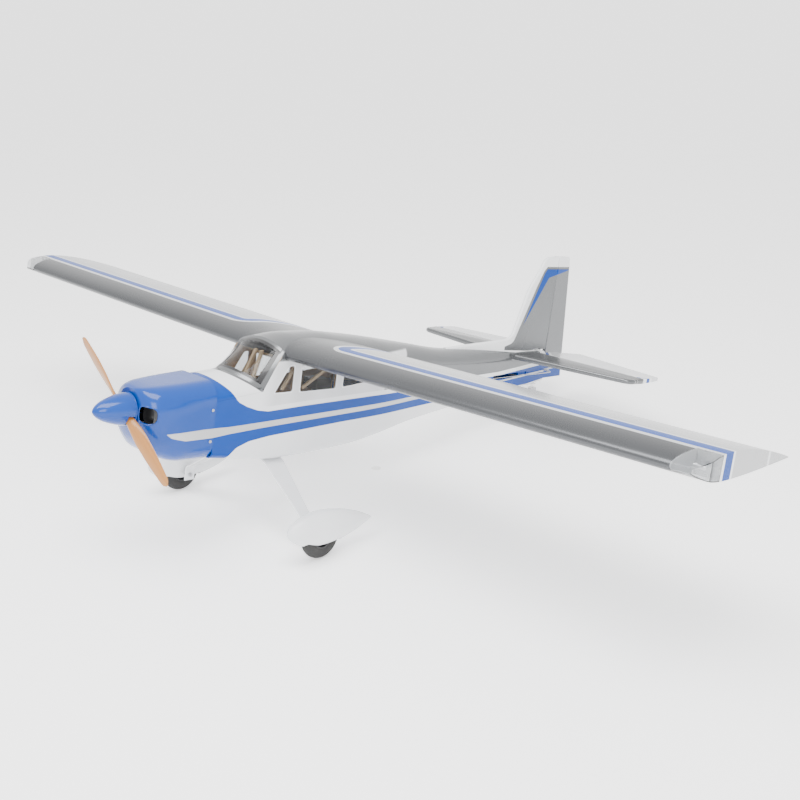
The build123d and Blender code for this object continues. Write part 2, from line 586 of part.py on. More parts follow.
tube_lift = TUBE_AT * CHORD * sin(radians(INCIDENCE))
tube_drop = WING_TUBE_HALF * sin(radians(DIHEDRAL)) / 2
panel_length = half_span - panel_root_x
main_length = panel_length - TIP_LENGTH
hinge_y = HINGE_AT * CHORD
hinge_z = CHORD * camber_line(HINGE_AT)
rear_face = HINGE_AT - HINGE_GAP / 2 / CHORD
flap_end = FLAP_START + FLAP_LENGTH
aileron_start = flap_end + 2 * END_GAP
aileron_end = aileron_start + AILERON_LENGTH
panel_place = (
    Location((panel_root_x, WING_LE_Y, WING_LE_Z)) * Location((0, 0, 0), (0, -DIHEDRAL, 0))
    * Location((0, 0, 0), (-INCIDENCE, 0, 0))
)
flap_servo_x = between(FLAP_START, flap_end, 0.42)
aileron_servo_x = between(aileron_start, aileron_end, 0.42)
servo_y = hinge_y - WING_ROD
servo_z = hinge_z + 1.0
NOSE_WALL_SHARE, ROOT_RIB = 0.012, 4.0
inner_end = rear_face - 3.0 / CHORD


with BuildPart() as wing_skin:
    extrude(wing_section(0, 0, 1.0), amount=panel_length)
    # hollow from the root rib to the tip rib, and open behind the hinge line for the flap and the aileron
    extrude(wing_section(ROOT_RIB, NOSE_WALL_SHARE, inner_end, WING_SKIN), amount=main_length - 2 * ROOT_RIB,
            mode=Mode.SUBTRACT)
    box((FLAP_START - END_GAP, rear_face * CHORD, -60), (aileron_end + END_GAP, CHORD + 10, 60),
        Mode.SUBTRACT)
    # the tip's front corner is round in plan
    with BuildSketch(Plane.XY.offset(-60)):
        with BuildLine():
            RadiusArc((panel_length - TIP_ROUND, -1), (panel_length, TIP_ROUND), TIP_ROUND)
            Polyline((panel_length, TIP_ROUND), (panel_length + 20, TIP_ROUND), (panel_length + 20, -20),
                     (panel_length - TIP_ROUND, -20), (panel_length - TIP_ROUND, -1))
        make_face()
    extrude(amount=120, mode=Mode.SUBTRACT)
    rod("X", (0, TUBE_AT * CHORD, tube_z - WING_LE_Z + tube_lift), WING_TUBE_R + 0.4, 20, Mode.SUBTRACT)
    for x in (flap_servo_x, aileron_servo_x):
        box((x - 6, servo_y - 22, -30), (x + 5, servo_y + 24, 0), Mode.SUBTRACT)

# the lens takes the front corner of the tip
lens_plan = [(panel_length - LENS_SPAN, -3), (panel_length + 3, -3), (panel_length + 3, LENS_CHORD),
             (panel_length - LENS_SPAN + LENS_SLANT, LENS_CHORD)]


def lens_prism(inset, mode):
    """The lens's plan outline, run right through the tip."""
    with BuildSketch(Plane.XY.offset(-60)) as outline:
        with BuildLine():
            Polyline(*lens_plan, close=True)
        make_face()
        if inset:
            offset(amount=-inset, mode=Mode.REPLACE)
    extrude(outline.sketch, amount=120, mode=mode)


with BuildPart() as tip_lens:
    add(wing_skin.part)
    box((main_length - ROOT_RIB - 6, NOSE_WALL_SHARE, -4), (panel_length - 10, LENS_CHORD, 4))
    lens_prism(0.0, Mode.INTERSECT)
    extrude(wing_section(panel_length - LENS_SPAN - 2, NOSE_WALL_SHARE, 0.5, LENS_WALL + 0.4),
            amount=LENS_SPAN - 6, mode=Mode.SUBTRACT)
keep("tip_lenses", tip_lens.part.moved(panel_place), mirrored(tip_lens.part.moved(panel_place)))

with BuildPart() as wing_half:
    add(wing_skin.part)
    lens_prism(-0.1, Mode.SUBTRACT)
keep("left_wing_skin", wing_half.part.moved(panel_place))
keep("right_wing_skin", mirrored(wing_half.part.moved(panel_place)))

# ---------------------------------------------------------------- wing frames, tube and servos
servo_gap = 1.0
servo_places = (flap_servo_x, aileron_servo_x)
servo_low = (5.0, servo_y - 10, servo_z - SERVO_WIDE / 2)
servo_high = (5.0 + SERVO_TALL, servo_y + SERVO_LONG - 10, servo_z + SERVO_WIDE / 2)
rib_count = round((main_length - 2 * ROOT_RIB) / RIB_PITCH)
frame_start, frame_length = ROOT_RIB, main_length - 2 * ROOT_RIB
bay = frame_length / rib_count
spar_y = SPAR_AT * CHORD

with BuildPart() as wing_frame:
    extrude(wing_section(frame_start, 0.02, rear_face - 3.2 / CHORD, WING_SKIN + 0.1), amount=frame_length)
    for i in range(rib_count):
        low_x = frame_start + i * bay + RIB_THICK / 2 * (i > 0)
        high_x = frame_start + (i + 1) * bay - RIB_THICK / 2 * (i < rib_count - 1)
        box((low_x, -5, -40), (high_x, spar_y - SPAR_THICK / 2, 50), Mode.SUBTRACT)
        box((low_x, spar_y + SPAR_THICK / 2, -40), (high_x, CHORD, 50), Mode.SUBTRACT)
    for x in servo_places:
        low = [value - servo_gap for value in servo_low]
        high = [value + servo_gap for value in servo_high]
        box((x - 8, low[1], -40), (x + high[0], high[1] + 10, 40), Mode.SUBTRACT)
    bore_z = tube_z - WING_LE_Z + tube_lift - tube_drop
    rod("X", (0, TUBE_AT * CHORD, bore_z), WING_TUBE_R + tube_drop + 0.4, 2 * WING_TUBE_HALF, Mode.SUBTRACT)
left_frame = wing_frame.part.moved(panel_place)
keep("wing_frames", *left_frame.solids(), *mirrored(left_frame).solids())

with BuildPart() as wing_tube:
    rod("X", (0, tube_y, tube_z), WING_TUBE_R, 2 * WING_TUBE_HALF)
    rod("X", (0, tube_y, tube_z), WING_TUBE_R - WING_TUBE_WALL, 2 * WING_TUBE_HALF + 2, Mode.SUBTRACT)
keep("wing_tube", wing_tube.part)

with BuildPart() as tip_lamp:
    rod("X", (panel_length - 27, 31, 3.0), 5.0, 6)
    rod("X", (panel_length - 20, 31, 3.0), 3.2, 8)
keep("tip_lamps", tip_lamp.part.moved(panel_place), mirrored(tip_lamp.part.moved(panel_place)))

servo_bodies = []
for x in servo_places:
    with BuildPart() as wing_servo:
        box((x + servo_low[0], servo_low[1], servo_low[2]), (x + servo_high[0], servo_high[1], servo_high[2]))
        rod("X", (x + servo_low[0] - 1.5, servo_y, servo_z), 4.5, 3)
    left_servo = wing_servo.part.moved(panel_place)
    servo_bodies += [left_servo, mirrored(left_servo)]

# ---------------------------------------------------------------- ailerons and flaps
def horn_plate(pin, base_front, base_rear, base_z):
    """A side-view plate from its foot on the surface to the eye of the pin; drawn in y and z."""
    eye = 2.6
    with BuildSketch(side(-LEAF / 2)) as outline:
        with BuildLine():
            Polyline((base_front, base_z[0]), (base_rear, base_z[1]), (pin[0] + eye, pin[1]),
                     (pin[0] + eye, pin[1] - eye), (pin[0] - eye, pin[1] - eye), (pin[0] - eye, pin[1]),
                     close=True)
        make_face()
        with Locations(pin):
            Circle(PIN_R + PIN_PLAY, mode=Mode.SUBTRACT)
    extrude(outline.sketch, amount=LEAF)


wing_pin = (hinge_y + 3.0, hinge_z - WING_HORN_DROP)
wing_horn_front, wing_horn_rear = HINGE_AT + 12.0 / CHORD, HINGE_AT + 30.0 / CHORD
horn_feet = (skin_z(wing_horn_front, -1) - HORN_SEAT, skin_z(wing_horn_rear, -1) - HORN_SEAT)
with BuildPart() as wing_horn:
    horn_plate(wing_pin, wing_horn_front * CHORD, wing_horn_rear * CHORD, horn_feet)

surface_bodies = {}
for name, start, length, up, down, horn_x in (
    ("flap", FLAP_START, FLAP_LENGTH, 2.0, FLAP_TRAVEL, flap_servo_x),
    ("aileron", aileron_start, AILERON_LENGTH, AILERON_TRAVEL, AILERON_TRAVEL, aileron_servo_x),
):
    with BuildPart() as surface:
        extrude(surface_section(start, up, down), amount=length)
    left_surface = surface.part.moved(panel_place)
    left_horn = wing_horn.part.moved(panel_place * Location((horn_x, 0, 0)))
    keep(f"left_{name}", left_surface, left_horn)
    keep(f"right_{name}", mirrored(left_surface), mirrored(left_horn))


# ---------------------------------------------------------------- servo arms and pushrods
def arm_plate(axle, pin):
    """A servo arm in the y-z plane: a round boss, and a blade to the rod's eye with some play."""
    reach = hypot(pin[0] - axle[0], pin[1] - axle[1])
    turn = degrees(atan2(pin[1] - axle[1], pin[0] - axle[0]))
    with BuildSketch(side(-LEAF / 2)) as outline:
        with Locations(Location((*axle, 0), (0, 0, turn))):
            with Locations((reach / 2, 0)):
                SlotCenterToCenter(reach, 5.6)
            Circle(4.5)
        with Locations(pin):
            Circle(PIN_R + OPEN_PLAY, mode=Mode.SUBTRACT)
    extrude(outline.sketch, amount=LEAF)


def push_rod(front, rear):
    """A wire beside the two plates, with a bent end through each eye; front and rear are (y, z)."""
    offset_x = -(LEAF / 2 + FORK_GAP + ROD_R)
    length = hypot(rear[0] - front[0], rear[1] - front[1])
    slope = atan2(rear[1] - front[1], rear[0] - front[0])
    middle = (offset_x, (front[0] + rear[0]) / 2, (front[1] + rear[1]) / 2)
    with Locations(Location(middle, (90 + degrees(slope), 0, 0))):
        Cylinder(ROD_R, length + 2 * PIN_R + 0.8)
    for y, z in (front, rear):
        rod("X", ((offset_x + LEAF / 2 + 1.2) / 2, y, z), PIN_R, LEAF / 2 + 1.2 - offset_x)


servo_eye = (servo_y + wing_pin[0] - hinge_y, servo_z + wing_pin[1] - hinge_z)
with BuildPart() as wing_arm:
    arm_plate((servo_y, servo_z), servo_eye)
with BuildPart() as wing_rod:
    push_rod(servo_eye, wing_pin)
for name, x in (("flap", flap_servo_x), ("aileron", aileron_servo_x)):
    place = panel_place * Location((x, 0, 0))
    left_arm, left_rod = wing_arm.part.moved(place), wing_rod.part.moved(place)
    keep(f"left_{name}_servo_arm", left_arm)
    keep(f"right_{name}_servo_arm", mirrored(left_arm))
    keep(f"left_{name}_pushrod", left_rod)
    keep(f"right_{name}_pushrod", mirrored(left_rod))

# ---------------------------------------------------------------- tail surfaces
half_tail = TAIL_SPAN / 2
stab_root = STAB_ROOT_X + PANEL_GAP / 2
stab_rear_y = ELEVATOR_HINGE_Y - HINGE_GAP / 2
with BuildPart() as stabilizer:
    with BuildSketch(Plane.XY.offset(STAB_Z - STAB_THICK / 2)):
        with BuildLine():
            Polyline((stab_root, stab_rear_y), (stab_root, STAB_LE_ROOT_Y),
                     (half_tail - 20, STAB_LE_TIP_Y - 3))
            ThreePointArc((half_tail - 20, STAB_LE_TIP_Y - 3), (half_tail - 5, STAB_LE_TIP_Y + 6),
                          (half_tail, STAB_LE_TIP_Y + 22))
            Polyline((half_tail, STAB_LE_TIP_Y + 22), (half_tail, stab_rear_y), (stab_root, stab_rear_y))
        make_face()
    extrude(amount=STAB_THICK)
    outer_edges = []
    for face in stabilizer.faces().filter_by(Plane.XY):
        for edge in face.edges():
            if edge.center().Y < stab_rear_y - 2 and edge.center().X > stab_root + 1:
                outer_edges.append(edge)
    fillet(outer_edges, radius=STAB_THICK / 2 - 0.6)
    rod("X", (0, STAB_TUBE_Y, STAB_Z), STAB_TUBE_R + SNUG, 2 * half_tail - 120, Mode.SUBTRACT)
keep("left_stabilizer", stabilizer.part)
keep("right_stabilizer", mirrored(stabilizer.part))
with BuildPart() as stabilizer_tube:
    rod("X", (0, STAB_TUBE_Y, STAB_Z), STAB_TUBE_R, 2 * half_tail - 122)
keep("stabilizer_tube", stabilizer_tube.part)


def wedge_profile(hinge, height, chord, travel):
    """A flat control surface in section: bevelled front, flat middle and a thin trailing edge."""
    front = hinge + HINGE_GAP / 2
    run = height * tan(radians(travel + BEVEL_MARGIN))
    rear = front + chord
    return [(front, 0), (front + run, height), (rear, 1.5), (rear, -1.5), (front + run, -height)]


elevator_front = ELEVATOR_HINGE_Y + HINGE_GAP / 2
elevator_pin = (ELEVATOR_HINGE_Y + 4.0, STAB_Z - TAIL_HORN_DROP)
with BuildPart() as elevator:
    with BuildSketch(side()):
        with BuildLine():
            points = wedge_profile(ELEVATOR_HINGE_Y, STAB_THICK / 2, ELEVATOR_TE_ROOT_Y - elevator_front,
                                   ELEVATOR_TRAVEL)
            Polyline(*[(y, z + STAB_Z) for y, z in points], close=True)
        make_face()
    extrude(amount=half_tail)
    with BuildSketch(Plane.XY.offset(STAB_Z - STAB_THICK)):
        with BuildLine():
            Polyline((half_tail, elevator_front - 2), (ELEVATOR_ROOT_X, elevator_front - 2),
                     (ELEVATOR_ROOT_X, ELEVATOR_TE_ROOT_Y - 62), (ELEVATOR_ROOT_X + 29, ELEVATOR_TE_ROOT_Y),
                     (ELEVATOR_ROOT_X + 36, ELEVATOR_TE_ROOT_Y), (half_tail - TAIL_ROUND, ELEVATOR_TE_TIP_Y))
            RadiusArc((half_tail - TAIL_ROUND, ELEVATOR_TE_TIP_Y),
                      (half_tail, ELEVATOR_TE_TIP_Y - TAIL_ROUND), -TAIL_ROUND)
            Line((half_tail, ELEVATOR_TE_TIP_Y - TAIL_ROUND), (half_tail, elevator_front - 2))
        make_face()
    extrude(amount=2 * STAB_THICK, mode=Mode.INTERSECT)
    rod("X", (0, ELEVATOR_HINGE_Y + JOINER_BACK, STAB_Z), JOINER_R + SNUG, 100, Mode.SUBTRACT)
right_elevator = mirrored(elevator.part)
with BuildPart() as elevator_horn:
    horn_plate(elevator_pin, ELEVATOR_HINGE_Y + 12, ELEVATOR_HINGE_Y + 30,
               (STAB_Z - STAB_THICK / 2 - HORN_SEAT, STAB_Z - STAB_THICK / 2 + 0.3))
keep("left_elevator", elevator.part)
keep("right_elevator", right_elevator, elevator_horn.part.moved(Location((ELEVATOR_HORN_X, 0, 0))))
with BuildPart() as elevator_joiner:
    rod("X", (0, ELEVATOR_HINGE_Y + JOINER_BACK, STAB_Z), JOINER_R, 98)
keep("elevator_joiner", elevator_joiner.part)

elevator_servo = (ELEVATOR_HINGE_Y - ELEVATOR_ROD, STAB_Z - ELEVATOR_ROD_RISE)
elevator_eye = (elevator_pin[0] - ELEVATOR_ROD, elevator_pin[1] - ELEVATOR_ROD_RISE)
with BuildPart() as elevator_arm:
    arm_plate(elevator_servo, elevator_eye)
with BuildPart() as elevator_rod:
    push_rod(elevator_eye, elevator_pin)
elevator_side = Location((ELEVATOR_HORN_X, 0, 0))
keep("elevator_servo_arm", elevator_arm.part.moved(elevator_side))
keep("elevator_pushrod", elevator_rod.part.moved(elevator_side))
with BuildPart() as elevator_servo_body:
    y, z = elevator_servo
    box((ELEVATOR_HORN_X + 5, y - 30, z - 10), (ELEVATOR_HORN_X + 43, y + 10, z + 10))
    rod("X", (ELEVATOR_HORN_X + 3.5, y, z), 4.5, 3)
servo_bodies.append(elevator_servo_body.part)

# ---------------------------------------------------------------- fin and rudder
fin_rear_y = RUDDER_HINGE_Y - HINGE_GAP / 2
with BuildPart() as fin:
    with BuildSketch(side(-FIN_THICK / 2)):
        with BuildLine():
            Polyline((fin_rear_y, 60), (fin_rear_y, FIN_TOP_Z), (1176, FIN_TOP_Z - 2))
            ThreePointArc((1176, FIN_TOP_Z - 2), (1161, FIN_TOP_Z - 9), (1152, FIN_TOP_Z - 25))
            Polyline((1152, FIN_TOP_Z - 25), (1112, 192), (1076, 92))
            ThreePointArc((1076, 92), (1063, 80.5), (1042, 76))
            Polyline((1042, 76), (830, 67.2), (830, 60), (fin_rear_y, 60))
        make_face()
    extrude(amount=FIN_THICK)
    # the root follows the deck: everything inside the body is cut away
    with BuildSketch(side(-FIN_THICK / 2)):
        with BuildLine():
            Polyline((fin_rear_y, 60.2), (fin_rear_y, 47), (1064, 47), (1064, 60.2), close=True)
        make_face()
    extrude(amount=FIN_THICK)
    hull(extended(tail[-3:], rear=6.0), -SLIP, Mode.SUBTRACT)
    box((-30, STAB_LE_ROOT_Y - 9, 10), (30, ELEVATOR_HINGE_Y, STAB_Z + 8.1), Mode.SUBTRACT)
    box((-30, ELEVATOR_HINGE_Y - 4, 10), (30, ELEVATOR_HINGE_Y + 24, STAB_Z + 11), Mode.SUBTRACT)
keep("fin", fin.part)

rudder_front = RUDDER_HINGE_Y + HINGE_GAP / 2
rudder_pin = (RUDDER_HORN_X, RUDDER_HINGE_Y + 4.0)
with BuildPart() as rudder:
    with BuildSketch(Plane.XY.offset(RUDDER_FOOT_Z)):
        with BuildLine():
            points = wedge_profile(RUDDER_HINGE_Y, FIN_THICK / 2, RUDDER_FOOT_Y - rudder_front, RUDDER_TRAVEL)
            Polyline(*[(height, y) for y, height in points], close=True)
        make_face()
    extrude(amount=FIN_TOP_Z - RUDDER_FOOT_Z)
    with BuildSketch(side(-FIN_THICK)):
        with BuildLine():
            Polyline((rudder_front - 1, RUDDER_FOOT_Z), (RUDDER_FOOT_Y, RUDDER_FOOT_Z),
                     (RUDDER_TOP_Y, FIN_TOP_Z - 12))
            RadiusArc((RUDDER_TOP_Y, FIN_TOP_Z - 12), (RUDDER_TOP_Y - 12, FIN_TOP_Z), -12)
            Polyline((RUDDER_TOP_Y - 12, FIN_TOP_Z), (rudder_front - 1, FIN_TOP_Z),
                     (rudder_front - 1, RUDDER_FOOT_Z))
        make_face()
    extrude(amount=2 * FIN_THICK, mode=Mode.INTERSECT)
with BuildPart() as rudder_horn:
    with BuildSketch(Plane.XY.offset(RUDDER_HORN_Z - LEAF / 2)):
        with BuildLine():
            Polyline((FIN_THICK / 2 + 0.1, RUDDER_HINGE_Y + 10), (FIN_THICK / 2 - 0.2, RUDDER_HINGE_Y + 26),
                     (rudder_pin[0], rudder_pin[1] + 3), (rudder_pin[0] + 3, rudder_pin[1] + 3),
                     (rudder_pin[0] + 3, rudder_pin[1] - 3), (rudder_pin[0] - 3, rudder_pin[1] - 3),
                     close=True)
        make_face()
        with Locations(rudder_pin):
            Circle(PIN_R + PIN_PLAY, mode=Mode.SUBTRACT)
    extrude(amount=LEAF)
keep("rudder", rudder.part, rudder_horn.part)

# the rudder linkage lies flat: the same arm and rod, turned a quarter about the y axis
flat = Location((0, 0, RUDDER_HORN_Z), (0, -90, 0))
rudder_servo_y = RUDDER_HINGE_Y - RUDDER_ROD
rudder_eye_y = rudder_servo_y + rudder_pin[1] - RUDDER_HINGE_Y
with BuildPart() as rudder_arm:
    arm_plate((rudder_servo_y, 0), (rudder_eye_y, -RUDDER_HORN_X))
with BuildPart() as rudder_rod:
    push_rod((rudder_eye_y, -RUDDER_HORN_X), (rudder_pin[1], -RUDDER_HORN_X))
keep("rudder_servo_arm", rudder_arm.part.moved(flat))
keep("rudder_pushrod", rudder_rod.part.moved(flat))
with BuildPart() as rudder_servo_body:
    box((-10, rudder_servo_y - 30, RUDDER_HORN_Z - 43), (10, rudder_servo_y + 10, RUDDER_HORN_Z - 5))
    rod("Z", (0, rudder_servo_y, RUDDER_HORN_Z - 3.5), 4.5, 3)
servo_bodies.append(rudder_servo_body.part)
keep("servos", *servo_bodies)

# ---------------------------------------------------------------- tail wheel
bracket_front_y = 1140.0
bracket_z = station_value(tail, bracket_front_y, 2) + 2.8
with BuildPart() as tailwheel_bracket:
    box((-7, bracket_front_y, bracket_z - 5.5), (7, TAIL_PIVOT_Y + 6, bracket_z - 3.0))
    rod("Z", (0, TAIL_PIVOT_Y, bracket_z - 9), 4.0, 9)
    rod("Z", (0, TAIL_PIVOT_Y, bracket_z - 9), 1.5 + RUNNING, 20, Mode.SUBTRACT)
keep("tailwheel_bracket", tailwheel_bracket.part)

fork_top = bracket_z - 13.8
fork_half = TAIL_WHEEL_WIDTH / 2 + 0.8
with BuildPart() as tailwheel_fork:
    rod("Z", (0, TAIL_PIVOT_Y, fork_top + 6), 1.5, 15.0)
    box((-fork_half - LEAF, TAIL_PIVOT_Y - 5, fork_top - 2.5), (fork_half + LEAF, TAIL_PIVOT_Y + 9, fork_top))
    for sign in (-1, 1):
        with BuildSketch(side(sign * (fork_half + LEAF / 2) - LEAF / 2)):
            with BuildLine():
                Polyline((TAIL_PIVOT_Y - 5, fork_top), (TAIL_PIVOT_Y + 9, fork_top),
                         (TAIL_AXLE_Y + 4, TAIL_AXLE_Z - 3), (TAIL_AXLE_Y - 4, TAIL_AXLE_Z - 3), close=True)
            make_face()
        extrude(amount=LEAF)
    rod("X", (0, TAIL_AXLE_Y, TAIL_AXLE_Z), 1.0, 2 * (fork_half + LEAF) + 2)
keep("tailwheel_fork", tailwheel_fork.part)
with BuildPart() as tailwheel:
    with BuildSketch(Plane(origin=(0, TAIL_AXLE_Y, TAIL_AXLE_Z), x_dir=(1, 0, 0), z_dir=(0, -1, 0))):
        with BuildLine():
            half = TAIL_WHEEL_WIDTH / 2
            Polyline((half, 1.0 + RUNNING), (-half, 1.0 + RUNNING), (-half, TAIL_WHEEL_R - 4))
            ThreePointArc((-half, TAIL_WHEEL_R - 4), (0, TAIL_WHEEL_R), (half, TAIL_WHEEL_R - 4))
            Line((half, TAIL_WHEEL_R - 4), (half, 1.0 + RUNNING))
        make_face()
    revolve(axis=Axis((0, TAIL_AXLE_Y, TAIL_AXLE_Z), (1, 0, 0)))
keep("tailwheel", tailwheel.part)

# ---------------------------------------------------------------- screws
screw_heads = []
screw_seats = [
    ((cowl_half + SLIP, cowl_rear - 7, 2.0), "X"),
    ((cowl_half + SLIP, cowl_rear - 7, -54.0), "X"),
    ((20, 305, gear_top_z - GEAR_THICK - 0.1), "-Z"),
    ((36, 305, gear_top_z - GEAR_THICK - 0.1), "-Z"),
]
for (x, y, z), way in screw_seats:
    with BuildPart() as screw:
        if way == "X":
            rod("X", (x + 0.7, y, z), 2.6, 1.4)
        else:
            rod("Z", (x, y, z - 0.9), 3.2, 1.8)
    screw_heads += [screw.part, mirrored(screw.part)]
keep("screws", *screw_heads)

# ---------------------------------------------------------------- standing on the ground
wheelbase = hypot(TAIL_AXLE_Y - MAIN_AXLE_Y, TAIL_AXLE_Z - MAIN_AXLE_Z)
axle_slope = atan2(TAIL_AXLE_Z - MAIN_AXLE_Z, TAIL_AXLE_Y - MAIN_AXLE_Y)
PARKED = degrees(axle_slope + asin((WHEEL_R - TAIL_WHEEL_R) / wheelbase))
nose_up = Location((0, 0, 0), (-PARKED, 0, 0))
main_axle = (nose_up * Location((0, MAIN_AXLE_Y, MAIN_AXLE_Z))).position
nose_end = spinner_cone.part.moved(nose_up).bounding_box().min.Y
tail_end = rudder.part.moved(nose_up).bounding_box().max.Y
standing = Location((0, -(nose_end + tail_end) / 2, WHEEL_R - main_axle.Z)) * nose_up


def save_all():
    """Labels each piece, stands it on the ground and writes its STEP file."""
    for name, shape in pieces.items():
        piece = shape.moved(standing)
        piece.label = name
        export_step(piece, f"parts/{name}.step")


save_all()
print(f"{len(pieces)} pieces, parked {PARKED:.2f} degrees nose-up, overall {tail_end - nose_end:.0f} mm long")
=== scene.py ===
import json
from math import atan2, cos, hypot, pi, radians, sin, sqrt

import bmesh
import bpy
from mathutils import Matrix, Vector
from mathutils.bvhtree import BVHTree


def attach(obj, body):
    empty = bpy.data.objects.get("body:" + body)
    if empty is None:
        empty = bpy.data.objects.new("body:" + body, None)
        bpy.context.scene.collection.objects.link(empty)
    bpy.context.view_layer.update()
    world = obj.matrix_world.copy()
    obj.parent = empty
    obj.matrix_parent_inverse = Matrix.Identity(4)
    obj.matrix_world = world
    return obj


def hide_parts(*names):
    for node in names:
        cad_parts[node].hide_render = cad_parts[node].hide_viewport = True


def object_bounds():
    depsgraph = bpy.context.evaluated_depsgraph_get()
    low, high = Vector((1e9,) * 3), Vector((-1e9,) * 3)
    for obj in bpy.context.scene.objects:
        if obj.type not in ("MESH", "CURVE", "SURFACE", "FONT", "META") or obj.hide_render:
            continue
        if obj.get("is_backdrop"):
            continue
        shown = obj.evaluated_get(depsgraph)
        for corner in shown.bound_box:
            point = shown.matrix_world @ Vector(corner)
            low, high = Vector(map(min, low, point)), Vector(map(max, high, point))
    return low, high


# Radio-controlled high-wing sport aeroplane.  Pieces are drawn in millimetres in the aeroplane's level
# frame (propeller axis along Y, +X left, +Z up); `level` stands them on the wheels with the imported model.
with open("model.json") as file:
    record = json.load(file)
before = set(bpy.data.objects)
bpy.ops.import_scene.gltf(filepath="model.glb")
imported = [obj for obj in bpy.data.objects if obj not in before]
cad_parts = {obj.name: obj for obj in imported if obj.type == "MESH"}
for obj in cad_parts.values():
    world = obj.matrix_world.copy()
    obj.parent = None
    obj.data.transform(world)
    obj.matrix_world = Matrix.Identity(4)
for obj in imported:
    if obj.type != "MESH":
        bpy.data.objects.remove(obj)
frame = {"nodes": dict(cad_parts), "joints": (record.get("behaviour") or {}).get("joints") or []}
cad_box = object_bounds()
joints = {joint["name"]: joint for joint in frame["joints"]}

MM = 0.001
RING = 48
SOFT = 0.6  # width of a painted edge
SMOOTH = radians(32)


def level_matrix():
    """The aeroplane's level frame, from the propeller's axis and the way that the hatch lifts."""
    spin, lift = joints["propeller_spin"], joints["hatch_lift"]
    axes = Matrix((Vector((1, 0, 0)), Vector(spin["axis"]).normalized(), Vector(lift["axis"]).normalized()))
    return Matrix.Translation(Vector(spin["pos_m"])) @ axes.transposed().to_4x4()


level = level_matrix()
flip = Matrix.Diagonal((-1, 1, 1, 1))

# ---------------------------------------------------------------- sizes, mm
HALF_SPAN, CHORD, CAMBER, CAMBER_AT, THICKNESS, TRAILING = 876.0, 267.0, 0.024, 0.40, 0.145, 1.8
CABIN_HALF, GAP = 66.0, 0.3
DIHEDRAL, INCIDENCE = radians(1.25), radians(1.5)
WING_LE = (296.0, 90.0)
HINGE_AT, HINGE_GAP = 0.755, 1.2
JOINER_AT, JOINER_R = 0.28, 9.9
FLAP, AILERON = (112.0, 414.0), (417.0, 763.0)
TIP_ROUND, LENS_SPAN, LENS_CHORD, LENS_SLANT = 30.0, 50.0, 49.0, 11.0
panel_root = CABIN_HALF + GAP
panel_length = HALF_SPAN - panel_root
panel = (level @ Matrix.Translation(Vector((panel_root, *WING_LE)) * MM)
         @ Matrix.Rotation(-DIHEDRAL, 4, "Y") @ Matrix.Rotation(-INCIDENCE, 4, "X"))
HINGE_Y = HINGE_AT * CHORD


# ---------------------------------------------------------------- numbers in shader nodes
class Num:
    """A shader socket that can be added, scaled and compared like a number."""

    def __init__(self, tree, socket):
        self.tree, self.socket = tree, socket

    def _do(self, operation, *others):
        node = self.tree.nodes.new("ShaderNodeMath")
        node.operation = operation
        for slot, value in zip(node.inputs, (self, *others)):
            if isinstance(value, Num):
                self.tree.links.new(value.socket, slot)
            else:
                slot.default_value = value
        return Num(self.tree, node.outputs[0])

    def __add__(self, other):
        return self._do("ADD", other)

    def __sub__(self, other):
        return self._do("SUBTRACT", other)

    def __mul__(self, other):
        return self._do("MULTIPLY", other)

    def __neg__(self):
        return self * -1.0

    def __rsub__(self, other):
        return -self + other

    def size(self):
        return self._do("ABSOLUTE")

    def low(self, other):
        return self._do("MINIMUM", other)

    def high(self, other):
        return self._do("MAXIMUM", other)

    def sine(self):
        return self._do("SINE")

    def root(self):
        return self._do("SQRT")

    def mask(self, soft=SOFT):
        """1 where the number is over zero and 0 where it is under."""
        step = self * (1.0 / soft) + 0.5
        step.socket.node.use_clamp = True
        return step


